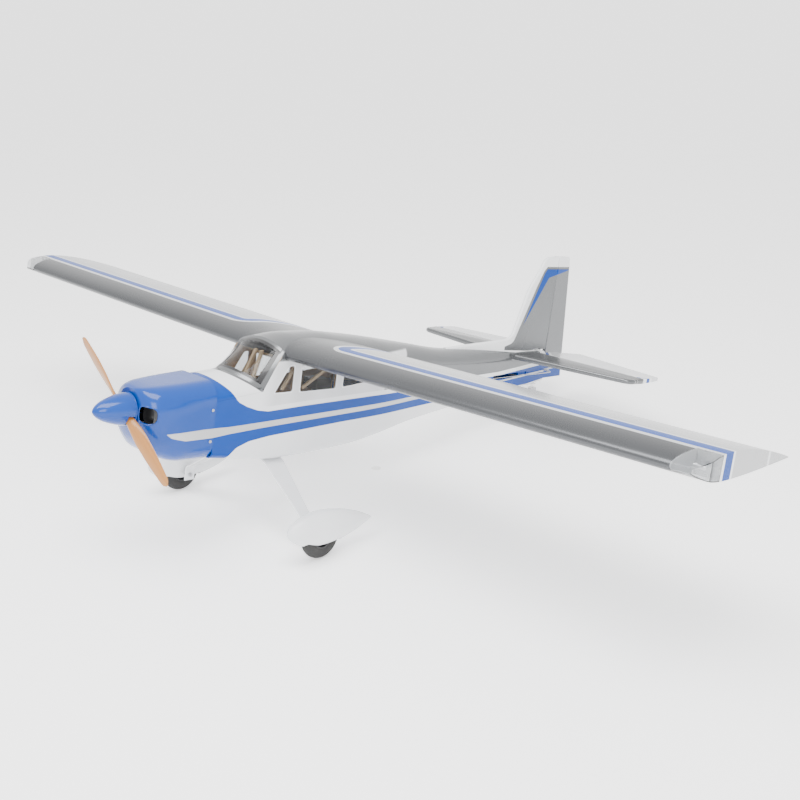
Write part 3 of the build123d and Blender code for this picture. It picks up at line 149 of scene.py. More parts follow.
class Paint:
    """A material whose patterns are worked out in millimetres in the piece's own frame."""

    def __init__(self, name, roughness=0.4, metallic=0.0, coat=0.0, clear=0.0, ior=1.5, specular=0.5,
                 place=None, fold=True):
        self.material = bpy.data.materials.new(name)
        self.material.use_nodes = True
        self.tree = self.material.node_tree
        self.shader = self.tree.nodes["Principled BSDF"]
        for socket, value in (("Roughness", roughness), ("Metallic", metallic), ("Coat Weight", coat),
                              ("Coat Roughness", 0.04), ("Transmission Weight", clear), ("IOR", ior),
                              ("Specular IOR Level", specular)):
            self.shader.inputs[socket].default_value = value
        self.place = self.drawn_in(level if place is None else place, fold)
        self.x, self.y, self.z = (Num(self.tree, out) * 1000.0 for out in self.split(self.place))
        self.side = self.x.size()

    def split(self, vector):
        node = self.tree.nodes.new("ShaderNodeSeparateXYZ")
        self.tree.links.new(vector, node.inputs[0])
        return node.outputs

    def drawn_in(self, place, fold):
        """The object's coordinates in the frame that the piece was drawn in, the right side as the left."""
        vector = self.tree.nodes.new("ShaderNodeTexCoord").outputs["Object"]
        if fold:
            x, y, z = self.split(vector)
            node = self.tree.nodes.new("ShaderNodeCombineXYZ")
            for slot, socket in zip(node.inputs, (Num(self.tree, x).size().socket, y, z)):
                self.tree.links.new(socket, slot)
            vector = node.outputs[0]
        back = place.inverted()
        node = self.tree.nodes.new("ShaderNodeMapping")
        node.inputs["Location"].default_value = back.to_translation()
        node.inputs["Rotation"].default_value = back.to_euler()
        self.tree.links.new(vector, node.inputs["Vector"])
        return node.outputs[0]

    def noise(self, scale, detail=3.0, stretch=(1.0, 1.0, 1.0), distortion=0.0):
        """Noise from 0 to 1; scale is in cycles per metre."""
        mapping = self.tree.nodes.new("ShaderNodeMapping")
        mapping.inputs["Scale"].default_value = stretch
        self.tree.links.new(self.place, mapping.inputs["Vector"])
        node = self.tree.nodes.new("ShaderNodeTexNoise")
        node.inputs["Scale"].default_value = scale
        node.inputs["Detail"].default_value = detail
        node.inputs["Distortion"].default_value = distortion
        self.tree.links.new(mapping.outputs[0], node.inputs["Vector"])
        return Num(self.tree, node.outputs["Fac"])

    def along(self, number, points, smooth=False):
        """The second value of the points, read at a number by straight or smooth runs."""
        low_u, high_u = points[0][0], points[-1][0]
        values = [v for _, v in points]
        low_v, high_v = min(values), max(values)
        span_v = (high_v - low_v) or 1.0
        node = self.tree.nodes.new("ShaderNodeFloatCurve")
        curve = node.mapping.curves[0]
        spots = [((u - low_u) / (high_u - low_u), (v - low_v) / span_v) for u, v in points]
        for spot in spots[1:-1]:
            curve.points.new(*spot)
        curve.points[0].location, curve.points[-1].location = spots[0], spots[-1]
        for point in curve.points:
            point.handle_type = "AUTO" if smooth else "VECTOR"
        node.mapping.update()
        share = (number - low_u) * (1.0 / (high_u - low_u))
        share.socket.node.use_clamp = True
        self.tree.links.new(share.socket, node.inputs["Value"])
        return Num(self.tree, node.outputs["Value"]) * span_v + low_v

    def blend(self, mask, over, under):
        """One colour over another; each is an (r, g, b) or the output of an earlier blend."""
        node = self.tree.nodes.new("ShaderNodeMix")
        node.data_type = "RGBA"
        self.tree.links.new(mask.socket, node.inputs["Factor"])
        for slot, colour in zip((node.inputs[6], node.inputs[7]), (under, over)):
            if isinstance(colour, tuple):
                slot.default_value = (*colour, 1.0)
            else:
                self.tree.links.new(colour, slot)
        return node.outputs[2]

    def colour(self, socket):
        self.tree.links.new(socket, self.shader.inputs["Base Color"])

    def drive(self, name, number):
        """Runs roughness or metallic from a number."""
        self.tree.links.new(number.socket, self.shader.inputs[name])

    def bump(self, height, depth=0.0002):
        node = self.tree.nodes.new("ShaderNodeBump")
        node.inputs["Distance"].default_value = depth
        node.inputs["Strength"].default_value = 1.0
        self.tree.links.new(height.socket, node.inputs["Height"])
        self.tree.links.new(node.outputs[0], self.shader.inputs["Normal"])


BLADE_PLANE_Y, PROP_REST, PROP_R = 2.5, radians(-145.6), 165.0
prop_place = level @ Matrix.Translation((0, BLADE_PLANE_Y * MM, 0)) @ Matrix.Rotation(PROP_REST, 4, "Y")

# ---------------------------------------------------------------- colours, linear
BLUE, BLUE_DEEP = (0.0, 0.046, 0.27), (0.0, 0.037, 0.23)
WHITE, WHITE_COOL = (0.74, 0.75, 0.76), (0.68, 0.69, 0.71)
SILVER, SILVER_DARK, SILVER_LIGHT = (0.17, 0.175, 0.18), (0.085, 0.088, 0.093), (0.44, 0.445, 0.45)
SILVER_SHADE = (0.145, 0.15, 0.155)
BLACK, GREY = (0.008, 0.008, 0.009), (0.10, 0.10, 0.105)

# edges of the paint on the body's side, in y and z
BLUE_TOP = [(130, 72), (145, 60), (160, 52), (181, 31), (197, 12), (217, 2), (243, -7), (269, -11),
            (357, -8), (535, -4), (1002, -2), (1193, 10), (1310, 16)]
BLUE_FOOT = [(150, -130), (184, -88), (191, -81), (202, -72), (230, -63), (276, -58), (462, -49),
             (776, -39), (1000, -36), (1135, -33), (1272, -19), (1310, -14)]
STRIPE_TOP = [(49, -33), (126, -31), (182, -32), (688, -18), (1002, -15), (1193, -5), (1310, 1)]
STRIPE_FOOT = [(49, -33), (60, -41), (88, -48), (151, -48), (183, -45), (253, -41), (720, -25),
               (1002, -19), (1193, -9), (1310, -3)]


def film(paint, colour, metal):
    """Iron-on covering film: glossy, with very shallow waves and a faint grain."""
    waves = paint.noise(9.0, 2.0)
    grain = paint.noise(900.0, 2.0)
    paint.colour(colour)
    paint.drive("Metallic", metal)
    paint.drive("Roughness", waves * 0.10 + grain * 0.06 + 0.16)
    paint.bump(waves + grain * 0.02, 0.0006)


def side_scheme(paint):
    """The body's colours by height and station: blue nose and bands, silver stripe, white belly; one silver
    film, painted light on the cabin and painted shade aft.
    """
    top, foot = paint.along(paint.y, BLUE_TOP), paint.along(paint.y, BLUE_FOOT)
    above = paint.z - top
    silver = (above - 9.0).mask(1.0) * (paint.y - 266.0).mask(30.0)
    # Painted light and shade: the same silver film is painted light (white and light silver) on the cabin
    # side and darker (painted shade) aft of a slanting line behind the wing and above z 80.
    rear = (paint.y - paint.z * 1.1 - 570.0).mask(6.0).high((paint.z - 80.0).mask(3.0))
    shade = paint.noise(14.0)
    light = paint.blend(shade, WHITE_COOL, SILVER_LIGHT)
    dark = paint.blend(shade, SILVER, SILVER_SHADE)
    lit_and_shaded_silver = paint.blend(rear, dark, light)
    colour = paint.blend(silver, lit_and_shaded_silver, paint.blend(shade, WHITE, WHITE_COOL))
    blue = (-above).mask() * (paint.z - foot).mask()
    colour = paint.blend(blue, paint.blend(shade, BLUE, BLUE_DEEP), colour)
    stripe = (paint.along(paint.y, STRIPE_TOP) - paint.z).mask()
    stripe = stripe * (paint.z - paint.along(paint.y, STRIPE_FOOT)).mask()
    stripe = stripe * (paint.y - 50.0).mask(1.0)
    colour = paint.blend(stripe, SILVER_LIGHT, colour)
    metal = (silver * rear * 0.75).high(stripe * 0.5)
    return colour, metal


def dorsal_strip(paint, colour, metal):
    """A white strip on the rear deck that widens aft from a point, under the fin."""
    strip = (paint.y * 0.05 - 41.0).low(12.0) - paint.side
    strip = strip.mask() * (paint.z - 30.0).mask(2.0)
    return paint.blend(strip, WHITE, colour), metal * (1.0 - strip)


def body_paint():
    paint = Paint("body_covering", coat=0.12, specular=0.15)
    colour, metal = side_scheme(paint)
    film(paint, *dorsal_strip(paint, colour, metal))
    return paint.material


def deck_paint():
    """The hatch: the body's scheme, and a silver band round the foot of the windshield."""
    paint = Paint("hatch_covering", coat=0.12, specular=0.15)
    colour, metal = side_scheme(paint)
    ahead = paint.y + paint.z * 1.68 - 292.0
    band = ahead.mask(0.8) * (paint.z - 26.0).mask(1.0)
    colour = paint.blend(band, SILVER, colour)
    film(paint, colour, metal.high(band * 0.8))
    return paint.material


def gloss(name, scheme):
    """Sprayed and polished shell: a clear coat over colour, with faint orange peel."""
    paint = Paint(name, roughness=0.2, coat=0.4, specular=0.2)
    colour, metal, peel = scheme(paint)
    paint.colour(colour)
    paint.drive("Metallic", metal)
    paint.drive("Roughness", peel * 0.10 + 0.16)
    paint.bump(peel + paint.noise(700.0, 1.0) * 0.05, 0.00016)
    return paint.material


def cowl_scheme(paint):
    colour, metal = side_scheme(paint)
    return colour, metal, paint.noise(60.0, 2.0)


def plain_scheme(first, second):
    def scheme(paint):
        shade = paint.noise(22.0, 2.0)
        return paint.blend(shade, first, second), shade * 0.0, shade
    return scheme


def fin_paint(name):
    """Silver with a white front edge and cap, and a blue corner flash with a grey line."""
    paint = Paint(name, coat=0.12, specular=0.15)
    y, z = paint.y, paint.z
    edge = paint.along(z, [(60, 1046), (66, 1070), (72, 1079), (204, 1141), (238, 1160), (248, 1171)])
    field = (y - edge).mask() * (248.0 - z).mask()
    shade = paint.noise(16.0)
    colour = paint.blend(field, paint.blend(shade, SILVER, SILVER_SHADE), WHITE)
    outer = y - paint.along(z, [(60, 1082), (105, 1103), (232, 1162), (244, 1172)])
    line = outer.mask() * (244.0 - z).mask()
    colour = paint.blend(line * field, GREY, colour)
    colour = paint.blend((outer - 2.0).mask() * (242.0 - z).mask(), BLUE, colour)
    inner = (y - paint.along(z, [(60, 1080), (105, 1103), (222, 1183)]) - 1.0).mask()
    inner = inner * (paint.along(y, [(1100, 206), (1185, 222), (1270, 241)]) - z).mask()
    colour = paint.blend(inner, paint.blend(shade, SILVER, SILVER_SHADE), colour)
    low = (paint.along(y, BLUE_TOP) - z).mask()
    stripe = (z - paint.along(y, STRIPE_FOOT)).mask() * (paint.along(y, STRIPE_TOP) - z).mask()
    belly = (paint.along(y, BLUE_TOP) + 4.0 - z).mask()
    colour = paint.blend(belly, WHITE, colour)
    colour = paint.blend(low, BLUE, colour)
    colour = paint.blend(stripe, SILVER_LIGHT, colour)
    film(paint, colour, field * (1.0 - belly) * 0.7)
    return paint.material


WING_LINE = [(47, WHITE), (56, BLUE), (78, WHITE), (84, SILVER_LIGHT)]
WING_NOSE_X, WING_NOSE_R, RIB_PITCH = 48.0, 40.0, 88.0


def wing_paint(name):
    """Dark silver in front, then a thin white line, a blue band and a light rear, nosed at the root."""
    paint = Paint(name, coat=0.04, specular=0.1, place=panel)
    shade = paint.noise(12.0, 2.0, (0.4, 1.0, 1.0))
    colour = paint.blend(shade, SILVER_DARK, (0.105, 0.108, 0.113))
    front = WING_LINE[0][0]
    centre = front + WING_NOSE_R
    across = (centre - paint.y).high(0.0)
    back = (WING_NOSE_X + WING_NOSE_R - paint.side).high(0.0)
    reach = (across * across + back * back).root()
    depth = WING_NOSE_R - reach
    for edge, tint in WING_LINE:
        step = (depth - (edge - front)).mask()
        colour = paint.blend(step, tint, colour)
    rear = (depth - (WING_LINE[-1][0] - front) + 1.0).mask(2.0)
    ribs = (paint.side * (pi / RIB_PITCH)).sine().size()
    cap = (0.05 - ribs).mask(0.06)
    # A painted highlight: a white line painted just ahead of the hinge on the light rear of the wing.
    hinge = (paint.y - (HINGE_Y - 7.0)).mask() * (HINGE_Y - paint.y - 1.0).mask()
    colour = paint.blend(hinge * rear, WHITE, colour)
    waves, grain = paint.noise(8.0, 2.0), paint.noise(900.0, 2.0)
    paint.colour(colour)
    blue = (depth - 9.0).mask() * (31.0 - depth).mask()
    metal = (rear * -0.35 + 0.85) * (blue * -0.9 + 1.0)
    paint.drive("Metallic", metal)
    paint.drive("Roughness", waves * 0.10 + grain * 0.05 + 0.20)
    paint.bump(waves + cap * rear * 0.12 + grain * 0.02, 0.0006)
    return paint.material


def stab_paint():
    """Dark silver with two pinstripes behind the front edge."""
    paint = Paint("stabilizer_covering", coat=0.1, specular=0.2)
    edge = paint.along(paint.side, [(23, 1064), (283, 1111), (303, 1130)])
    back = paint.y - edge
    shade = paint.noise(14.0, 2.0)
    colour = paint.blend(shade, SILVER_DARK, SILVER)
    for start, width, tint in ((5.0, 1.6, SILVER_LIGHT), (9.0, 3.0, GREY), (14.0, 1.6, SILVER_LIGHT)):
        line = (back - start).mask(0.5) * (start + width - back).mask(0.5)
        colour = paint.blend(line, tint, colour)
    film(paint, colour, shade * 0.0 + 0.75)
    return paint.material


def elevator_paint():
    """Light silver, with a white corner and a blue flash at the root and at the tip."""
    paint = Paint("elevator_covering", coat=0.1, specular=0.2)
    shade = paint.noise(14.0, 2.0)
    colour = paint.blend(shade, SILVER_LIGHT, WHITE_COOL)
    for corner, reach in ((24.0, 34.0), (303.0, 30.0)):
        near = (paint.side - corner).size() + (paint.y - 1168.0) * 0.8
        colour = paint.blend((reach - near).mask(), WHITE, colour)
        ring = (reach - near - 8.0).mask() * (near - reach + 18.0).mask()
        colour = paint.blend(ring, BLUE, colour)
    film(paint, colour, shade * 0.0 + 0.35)
    return paint.material


def wood(name, light, dark, along, roughness=0.45, coat=0.0, place=None):
    """Straight grain stretched along one axis."""
    paint = Paint(name, coat=coat, place=place, fold=place is None)
    stretch = tuple(0.06 if axis == along else 1.0 for axis in "XYZ")
    bands, fibre = paint.noise(150.0, 6.0, stretch, 0.6), paint.noise(900.0, 3.0, stretch)
    mixed = bands * 1.5 - 0.35
    paint.colour(paint.blend(mixed, dark, light))
    paint.drive("Roughness", fibre * 0.25 + roughness - 0.1)
    paint.bump(bands * 0.5 + fibre * 0.5, 0.00015)
    return paint.material


def metal_finish(name, first, second, roughness=0.3, along="Y"):
    """Drawn or turned metal with fine lines."""
    paint = Paint(name, metallic=1.0)
    stretch = tuple(0.05 if axis == along else 1.0 for axis in "XYZ")
    lines, cloud = paint.noise(1200.0, 2.0, stretch), paint.noise(70.0, 2.0)
    paint.colour(paint.blend(cloud, first, second))
    paint.drive("Roughness", lines * 0.18 + cloud * 0.08 + roughness - 0.1)
    paint.bump(lines, 0.00005)
    return paint.material


def plastic(name, first, second, roughness=0.4, coat=0.0, grain=1400.0, depth=0.00006):
    """Moulded plastic or rubber with a fine texture."""
    paint = Paint(name, coat=coat)
    cloud, fine = paint.noise(45.0, 2.0), paint.noise(grain, 2.0)
    paint.colour(paint.blend(cloud, first, second))
    paint.drive("Roughness", fine * 0.2 + cloud * 0.1 + roughness - 0.12)
    paint.bump(fine, depth)
    return paint.material


def clear_sheet():
    """Vacuum-formed clear plastic with a faint smoky tint."""
    paint = Paint("clear_plastic", roughness=0.04, clear=1.0, ior=1.22)
    cloud = paint.noise(30.0, 2.0)
    paint.colour(paint.blend(cloud, (0.66, 0.67, 0.68), (0.60, 0.61, 0.62)))
    paint.drive("Roughness", cloud * 0.04 + 0.02)
    paint.bump(cloud, 0.0001)
    return paint.material


def battery_paint():
    """Shrink wrap with a plain coloured band."""
    paint = Paint("battery_wrap")
    fold = paint.noise(80.0, 4.0)
    band = paint.noise(3.0).mask(0.4)
    paint.colour(paint.blend(band, (0.02, 0.05, 0.16), (0.03, 0.03, 0.035)))
    paint.drive("Roughness", fold * 0.3 + 0.2)
    paint.bump(fold, 0.0006)
    return paint.material


COVER, DECK = body_paint(), deck_paint()
COWL = gloss("cowl_gloss", cowl_scheme)
BLUE_GLOSS = gloss("spinner_gloss", plain_scheme(BLUE, BLUE_DEEP))
WHITE_GLOSS = gloss("white_gloss", plain_scheme(WHITE, WHITE_COOL))
WING = wing_paint("wing_covering")
FIN = fin_paint("tail_covering")
STAB, ELEVATOR = stab_paint(), elevator_paint()
PLY = wood("plywood", (0.52, 0.33, 0.17), (0.33, 0.18, 0.08), "X", 0.6)
BALSA = wood("balsa", (0.66, 0.49, 0.30), (0.50, 0.33, 0.18), "Z", 0.65)
PROP = wood("propeller_beech", (0.42, 0.185, 0.045), (0.29, 0.11, 0.022), "X", 0.3, 0.15, prop_place)
STEEL = metal_finish("steel", (0.42, 0.42, 0.43), (0.52, 0.52, 0.53), 0.3)
ALLOY = metal_finish("alloy", (0.72, 0.72, 0.73), (0.60, 0.60, 0.61), 0.3)
MOTOR = metal_finish("motor_anodised", (0.03, 0.03, 0.035), (0.06, 0.06, 0.065), 0.35)
BLACK_PLASTIC = plastic("black_plastic", BLACK, (0.016, 0.016, 0.017))
WHITE_PLASTIC = plastic("white_plastic", WHITE, WHITE_COOL, 0.35)
RUBBER = plastic("tyre_rubber", (0.012, 0.012, 0.012), (0.022, 0.021, 0.020), 0.7, 0.0, 2200.0, 0.0002)
TRIM = plastic("cockpit_trim", BLACK, (0.012, 0.012, 0.013), 0.25, 0.3)
CLEAR, WRAP = clear_sheet(), battery_paint()


# ---------------------------------------------------------------- mesh helpers
def between(low, high, share):
    return low + (high - low) * share


def curve_value(stations, y, column):
    """One column of the stations at y, on a smooth curve that doesn't overshoot."""
    for i in range(len(stations) - 1):
        a, b = stations[i], stations[i + 1]
        if y <= b[0] or i == len(stations) - 2:
            slopes = []
            for at in (i, i + 1):
                before = stations[max(at - 1, 0)]
                after = stations[min(at + 1, len(stations) - 1)]
                here = stations[at]
                left = (here[column] - before[column]) / ((here[0] - before[0]) or 1.0)
                right = (after[column] - here[column]) / ((after[0] - here[0]) or 1.0)
                if at in (0, len(stations) - 1):
                    slopes.append(left or right)
                else:
                    slopes.append(0.0 if left * right <= 0 else 2 * left * right / (left + right))
            run = b[0] - a[0]
            t = min(max((y - a[0]) / run, 0.0), 1.0)
            h = (2 * t**3 - 3 * t**2 + 1, t**3 - 2 * t**2 + t, -2 * t**3 + 3 * t**2, t**3 - t**2)
            return h[0] * a[column] + h[1] * run * slopes[0] + h[2] * b[column] + h[3] * run * slopes[1]


def steps(low, high, pitch):
    count = max(1, round((high - low) / pitch))
    return [between(low, high, i / count) for i in range(count + 1)]


def ring_faces(rings, closed=True, capped=True):
    """Faces that join equal rings of points, with flat ends if asked."""
    size = len(rings[0])
    last = size if closed else size - 1
    faces = []
    for i in range(len(rings) - 1):
        for j in range(last):
            k = (j + 1) % size
            faces.append((i * size + j, i * size + k, (i + 1) * size + k, (i + 1) * size + j))
    if capped and closed:
        faces.append(tuple(range(size)))
        faces.append(tuple((len(rings) - 1) * size + j for j in reversed(range(size))))
    return faces


class Shape:
    """Mesh data in millimetres: points and faces."""

    def __init__(self, points, faces):
        self.points, self.faces = [tuple(p) for p in points], [tuple(f) for f in faces]

    def plus(self, *others):
        points, faces = list(self.points), list(self.faces)
        for other in others:
            start = len(points)
            points += other.points
            faces += [tuple(start + i for i in face) for face in other.faces]
        return Shape(points, faces)

    def moved(self, matrix):
        return Shape([tuple(matrix @ Vector(p)) for p in self.points], self.faces)

    def mirror(self):
        return Shape([(-x, y, z) for x, y, z in self.points], [tuple(reversed(f)) for f in self.faces])

    def mesh(self, name):
        mesh = bpy.data.meshes.new(name)
        mesh.from_pydata([(x * MM, y * MM, z * MM) for x, y, z in self.points], [], self.faces)
        edit = bmesh.new()
        edit.from_mesh(mesh)
        bmesh.ops.remove_doubles(edit, verts=edit.verts, dist=0.000001)
        bmesh.ops.recalc_face_normals(edit, faces=edit.faces)
        edit.to_mesh(mesh)
        edit.free()
        return mesh


def joined(shapes):
    return Shape([], []).plus(*shapes)


def loft(rings, closed=True, capped=True):
    return Shape([p for ring in rings for p in ring], ring_faces(rings, closed, capped))


def prism(outline, low, high, axis="X"):
    """An outline run along an axis; its two numbers are the other two axes in order."""
    def put(u, v, w):
        return {"X": (w, u, v), "Y": (u, w, v), "Z": (u, v, w)}[axis]
    return loft([[put(u, v, w) for u, v in outline] for w in (low, high)])


def block(low, high):
    outline = [(low[1], low[2]), (high[1], low[2]), (high[1], high[2]), (low[1], high[2])]
    return prism(outline, low[0], high[0])


def turned(profile, centre, axis="X", count=RING):
    """A profile of (distance along the axis, radius) turned about it."""
    rings = []
    for i in range(count):
        angle = 2 * pi * i / count
        ring = []
        for along, radius in profile:
            u, v = radius * cos(angle), radius * sin(angle)
            offset = {"X": (along, u, v), "Y": (u, along, v), "Z": (u, v, along)}[axis]
            ring.append(tuple(c + o for c, o in zip(centre, offset)))
        rings.append(ring)
    size = len(profile)
    faces = []
    for i in range(count):
        k = (i + 1) % count
        for j in range(size - 1):
            faces.append((i * size + j, k * size + j, k * size + j + 1, i * size + j + 1))
    return Shape([p for ring in rings for p in ring], faces)


def tube(path, radius, count=10):
    """A round tube along a closed loop of points."""
    rings = []
    total = len(path)
    for i, point in enumerate(path):
        ahead = (Vector(path[(i + 1) % total]) - Vector(path[i - 1])).normalized()
        first = ahead.orthogonal().normalized() if abs(ahead.y) > 0.9 else ahead.cross((0, 1, 0)).normalized()
        second = ahead.cross(first)
        rings.append([tuple(Vector(point) + first * (radius * cos(2 * pi * j / count))
                            + second * (radius * sin(2 * pi * j / count))) for j in range(count)])
    rings.append(rings[0])
    return loft(rings, capped=False)


def rounded(points, radius, count=6):
    """A polygon with its corners rounded."""
    result = []
    total = len(points)
    for i in range(total):
        here, before, after = Vector(points[i]), Vector(points[i - 1]), Vector(points[(i + 1) % total])
        a, b = (before - here), (after - here)
        reach = min(radius, a.length * 0.45, b.length * 0.45)
        a, b = here + a.normalized() * reach, here + b.normalized() * reach
        for j in range(count + 1):
            t = j / count
            result.append(tuple(a * (1 - t) ** 2 + here * (2 * t * (1 - t)) + b * t**2))
    return result


def scratch(shape, name="cutter"):
    body = bpy.data.objects.new(name, shape.mesh(name))
    bpy.context.scene.collection.objects.link(body)
    return body


def carved(shape, *cuts, keep_only=None):
    """The shape with other shapes cut from it, and then only what lies inside the last one."""
    base = scratch(shape, "blank")
    work = [(scratch(cut), "DIFFERENCE") for cut in cuts]
    if keep_only:
        work.append((scratch(keep_only), "INTERSECT"))
    for cutter, operation in work:
        change = base.modifiers.new("carve", "BOOLEAN")
        change.operation, change.solver, change.object = operation, "EXACT", cutter
    bpy.context.view_layer.update()
    done = bpy.data.meshes.new_from_object(base.evaluated_get(bpy.context.evaluated_depsgraph_get()))
    points = [tuple(c / MM for c in v.co) for v in done.vertices]
    result = Shape(points, [tuple(p.vertices) for p in done.polygons])
    for cutter, _ in work:
        bpy.data.objects.remove(cutter)
    bpy.data.objects.remove(base)
    return result


def finish(name, shape, body, material, nodes=(), place=None, bevel=0.0, mirror=False):
    """Makes one piece: its mesh, its material and the body it rides on, and hides the nodes it stands for."""
    mesh = shape.mesh(name)
    mesh.transform(level if place is None else place)
    if mirror:
        mesh.transform(flip)
        mesh.flip_normals()
    mesh.materials.append(material)
    mesh.polygons.foreach_set("use_smooth", [True] * len(mesh.polygons))
    mesh.set_sharp_from_angle(angle=SMOOTH)
    piece = bpy.data.objects.new(name, mesh)
    bpy.context.scene.collection.objects.link(piece)
    if bevel:
        change = piece.modifiers.new("edge", "BEVEL")
        change.width, change.segments, change.limit_method = bevel * MM, 2, "ANGLE"
        change.angle_limit = radians(40)
    bpy.context.view_layer.update()
    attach(piece, body)
    if nodes:
        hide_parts(*nodes)
    return piece


def both_sides(name, shape, body, material, node=None, place=None, bevel=0.0):
    """A left piece and its mirror image on the right; "{}" in a name becomes the side."""
    for side_name, mirror in (("left", False), ("right", True)):
        nodes = (node.format(side_name),) if node else ()
        finish(name.format(side_name), shape, body.format(side_name), material, nodes, place, bevel,
               mirror)


# ---------------------------------------------------------------- fuselage
WALL, WINDOW_ROUND = 2.0, 5.0
NOSE_Y, PILLAR_Y, TAIL_Y = 148.0, 252.0, 1212.0
cabin_stations = [(252, 66, -101, 84, 104, 12), (300, 66, -106, 84, 112, 12), (350, 66, -106, 86, 118, 12),
                  (420, 66, -104, 86, 117, 12), (500, 66, -99, 80, 110, 12), (560, 65, -91, 66, 103, 12),
                  (690, 54, -72, 46, 84, 10), (815, 43, -61, 36, 66, 9), (1000, 28, -48, 26, 55, 7),
                  (1212, 12, -32, 28, 42, 5)]
body_stations = [(148, 64, -88, 84, 104, 12), *cabin_stations]
deck_stations = [(148.3, 64, -88, 16, 49, 12), (252, 66, -101, 27, 57.5, 12)]
WINDOWS = [[(278, 22), (322, 22), (322, 70), (310, 70)], [(341, 20), (434, 20), (434, 68), (341, 68)],
           [(453, 21), (522, 27), (500, 62), (453, 66)]]


def hull_ring(stations, y, inset=0.0, at=None):
    """Flat sides, round lower corners and a half-elliptic deck."""
    half, bottom, shoulder, top, corner = (curve_value(stations, y, c) for c in range(1, 6))
    half, bottom, top = half - inset, bottom + inset, top - inset
    place = y if at is None else at
    ring = []
    for i in range(9):
        ring.append((half, place, between(shoulder, bottom + corner, i / 9)))
    for i in range(8):
        a = pi / 2 * i / 8
        ring.append((half - corner + corner * cos(a), place, bottom + corner - corner * sin(a)))
    for i in range(9):
        ring.append((between(half - corner, corner - half, i / 9), place, bottom))
    for i in range(8):
        a = pi / 2 * i / 8
        ring.append((-half + corner - corner * sin(a), place, bottom + corner - corner * cos(a)))
    for i in range(9):
        ring.append((-half, place, between(bottom + corner, shoulder, i / 9)))
    for i in range(28):
        a = pi * i / 28
        ring.append((-half * cos(a), place, shoulder + (top - shoulder) * sin(a)))
    return ring


def hull(stations, low, high, inset=0.0, pitch=16.0, front=0.0, rear=0.0):
    places = steps(low, high, pitch)
    rings = [hull_ring(stations, y, inset) for y in places]
    if front:
        rings[0] = hull_ring(stations, low, inset, low - front)
    if rear:
        rings[-1] = hull_ring(stations, high, inset, high + rear)
    return loft(rings)


def window_holes():
    return [prism(rounded(w, WINDOW_ROUND), -90, 90) for w in WINDOWS]


def fuselage():
    """The skin, the hatch opening, the rod slots and the saddle under the fin."""
    outer = hull(body_stations, NOSE_Y, TAIL_Y)
    inner = hull(body_stations, NOSE_Y, 1100.0, WALL, front=1.0)
    hatch_gap = prism([(140, 16), (NOSE_Y, 16), (PILLAR_Y, 27), (252, 29), (296, 97), (296, 140), (140, 140)],
                      -90, 90)
    rear = block((-30, 1164, 26), (30, 1192, 60))
    left_slot, right_slot = block((16, 985, -11), (34, 1130, -1)), block((-40, 866, -13), (-32.6, 1090, 9))
    shell = carved(outer, inner, hatch_gap, rear, left_slot, right_slot, *window_holes())
    saddle = carved(block((-23.6, 1056, 26), (23.6, 1167, 46)), hull(body_stations, 990.0, TAIL_Y, -0.05))
    finish("fuselage_covering", shell.plus(saddle), "airframe", COVER, ["fuselage_shell"])


def window_frames():
    """A raised rim round each window, and the pane inside the wall."""
    for i, outline in enumerate(WINDOWS):
        edge = rounded(outline, WINDOW_ROUND, 8)
        centre = Vector((sum(p[0] for p in outline) / 4, sum(p[1] for p in outline) / 4))

        def grown(by):
            return [tuple(Vector(p) + (Vector(p) - centre).normalized() * by) for p in edge]

        rim = []
        for points, x in ((edge, 64.4), (edge, 66.5), (grown(1.2), 66.9), (grown(2.6), 66.7),
                          (grown(3.2), 65.8), (grown(3.2), 64.4), (edge, 64.4)):
            rim.append([(x, u, v) for u, v in points])
        both_sides(f"window_rim_{i}_{{}}", loft(rim, capped=False), "airframe",
                   WHITE_PLASTIC)
    panes = joined([prism(rounded(outline, WINDOW_ROUND, 8), 64.4, 65.4) for outline in WINDOWS])
    finish("side_panes", panes.plus(panes.mirror()), "airframe", CLEAR, ["side_windows"])


SCREEN_BASE = ((252.0, 29.0), (210.0, 54.0), 66.0)
SCREEN_TOP = ((296.0, 97.0), (296.0, 112.0), 62.0)


def screen_arc(share, inset=0.0, count=32):
    """The curved sheet from the deck to the wing: an arc at a share of the way up."""
    ends = []
    for chord, crown, half in (SCREEN_BASE, SCREEN_TOP):
        rise = hypot(crown[0] - chord[0], crown[1] - chord[1]) - inset
        way = ((crown[0] - chord[0]) / (rise + inset), (crown[1] - chord[1]) / (rise + inset))
        width = half - inset
        radius = (width**2 + rise**2) / (2 * rise)
        spread = atan2(width, radius - rise)
        arc = []
        for i in range(count + 1):
            a = between(-spread, spread, i / count)
            lift = radius * cos(a) - radius + rise
            arc.append((radius * sin(a), chord[0] + way[0] * lift, chord[1] + way[1] * lift))
        ends.append(arc)
    return [tuple(between(a, b, share) for a, b in zip(p, q)) for p, q in zip(*ends)]


def screen_patch(first, last, low, high, outside, inside, rows=10):
    """A thick patch of the sheet, between two places round the arc and two up it."""
    def rows_at(inset):
        grid = []
        for r in range(rows + 1):
            arc = screen_arc(between(low, high, r / rows), inset)
            grid.append(arc[first:last + 1])
        return grid
    front, back = rows_at(outside), rows_at(inside)
    rings = [f + list(reversed(b)) for f, b in zip(front, back)]
    return loft(rings)


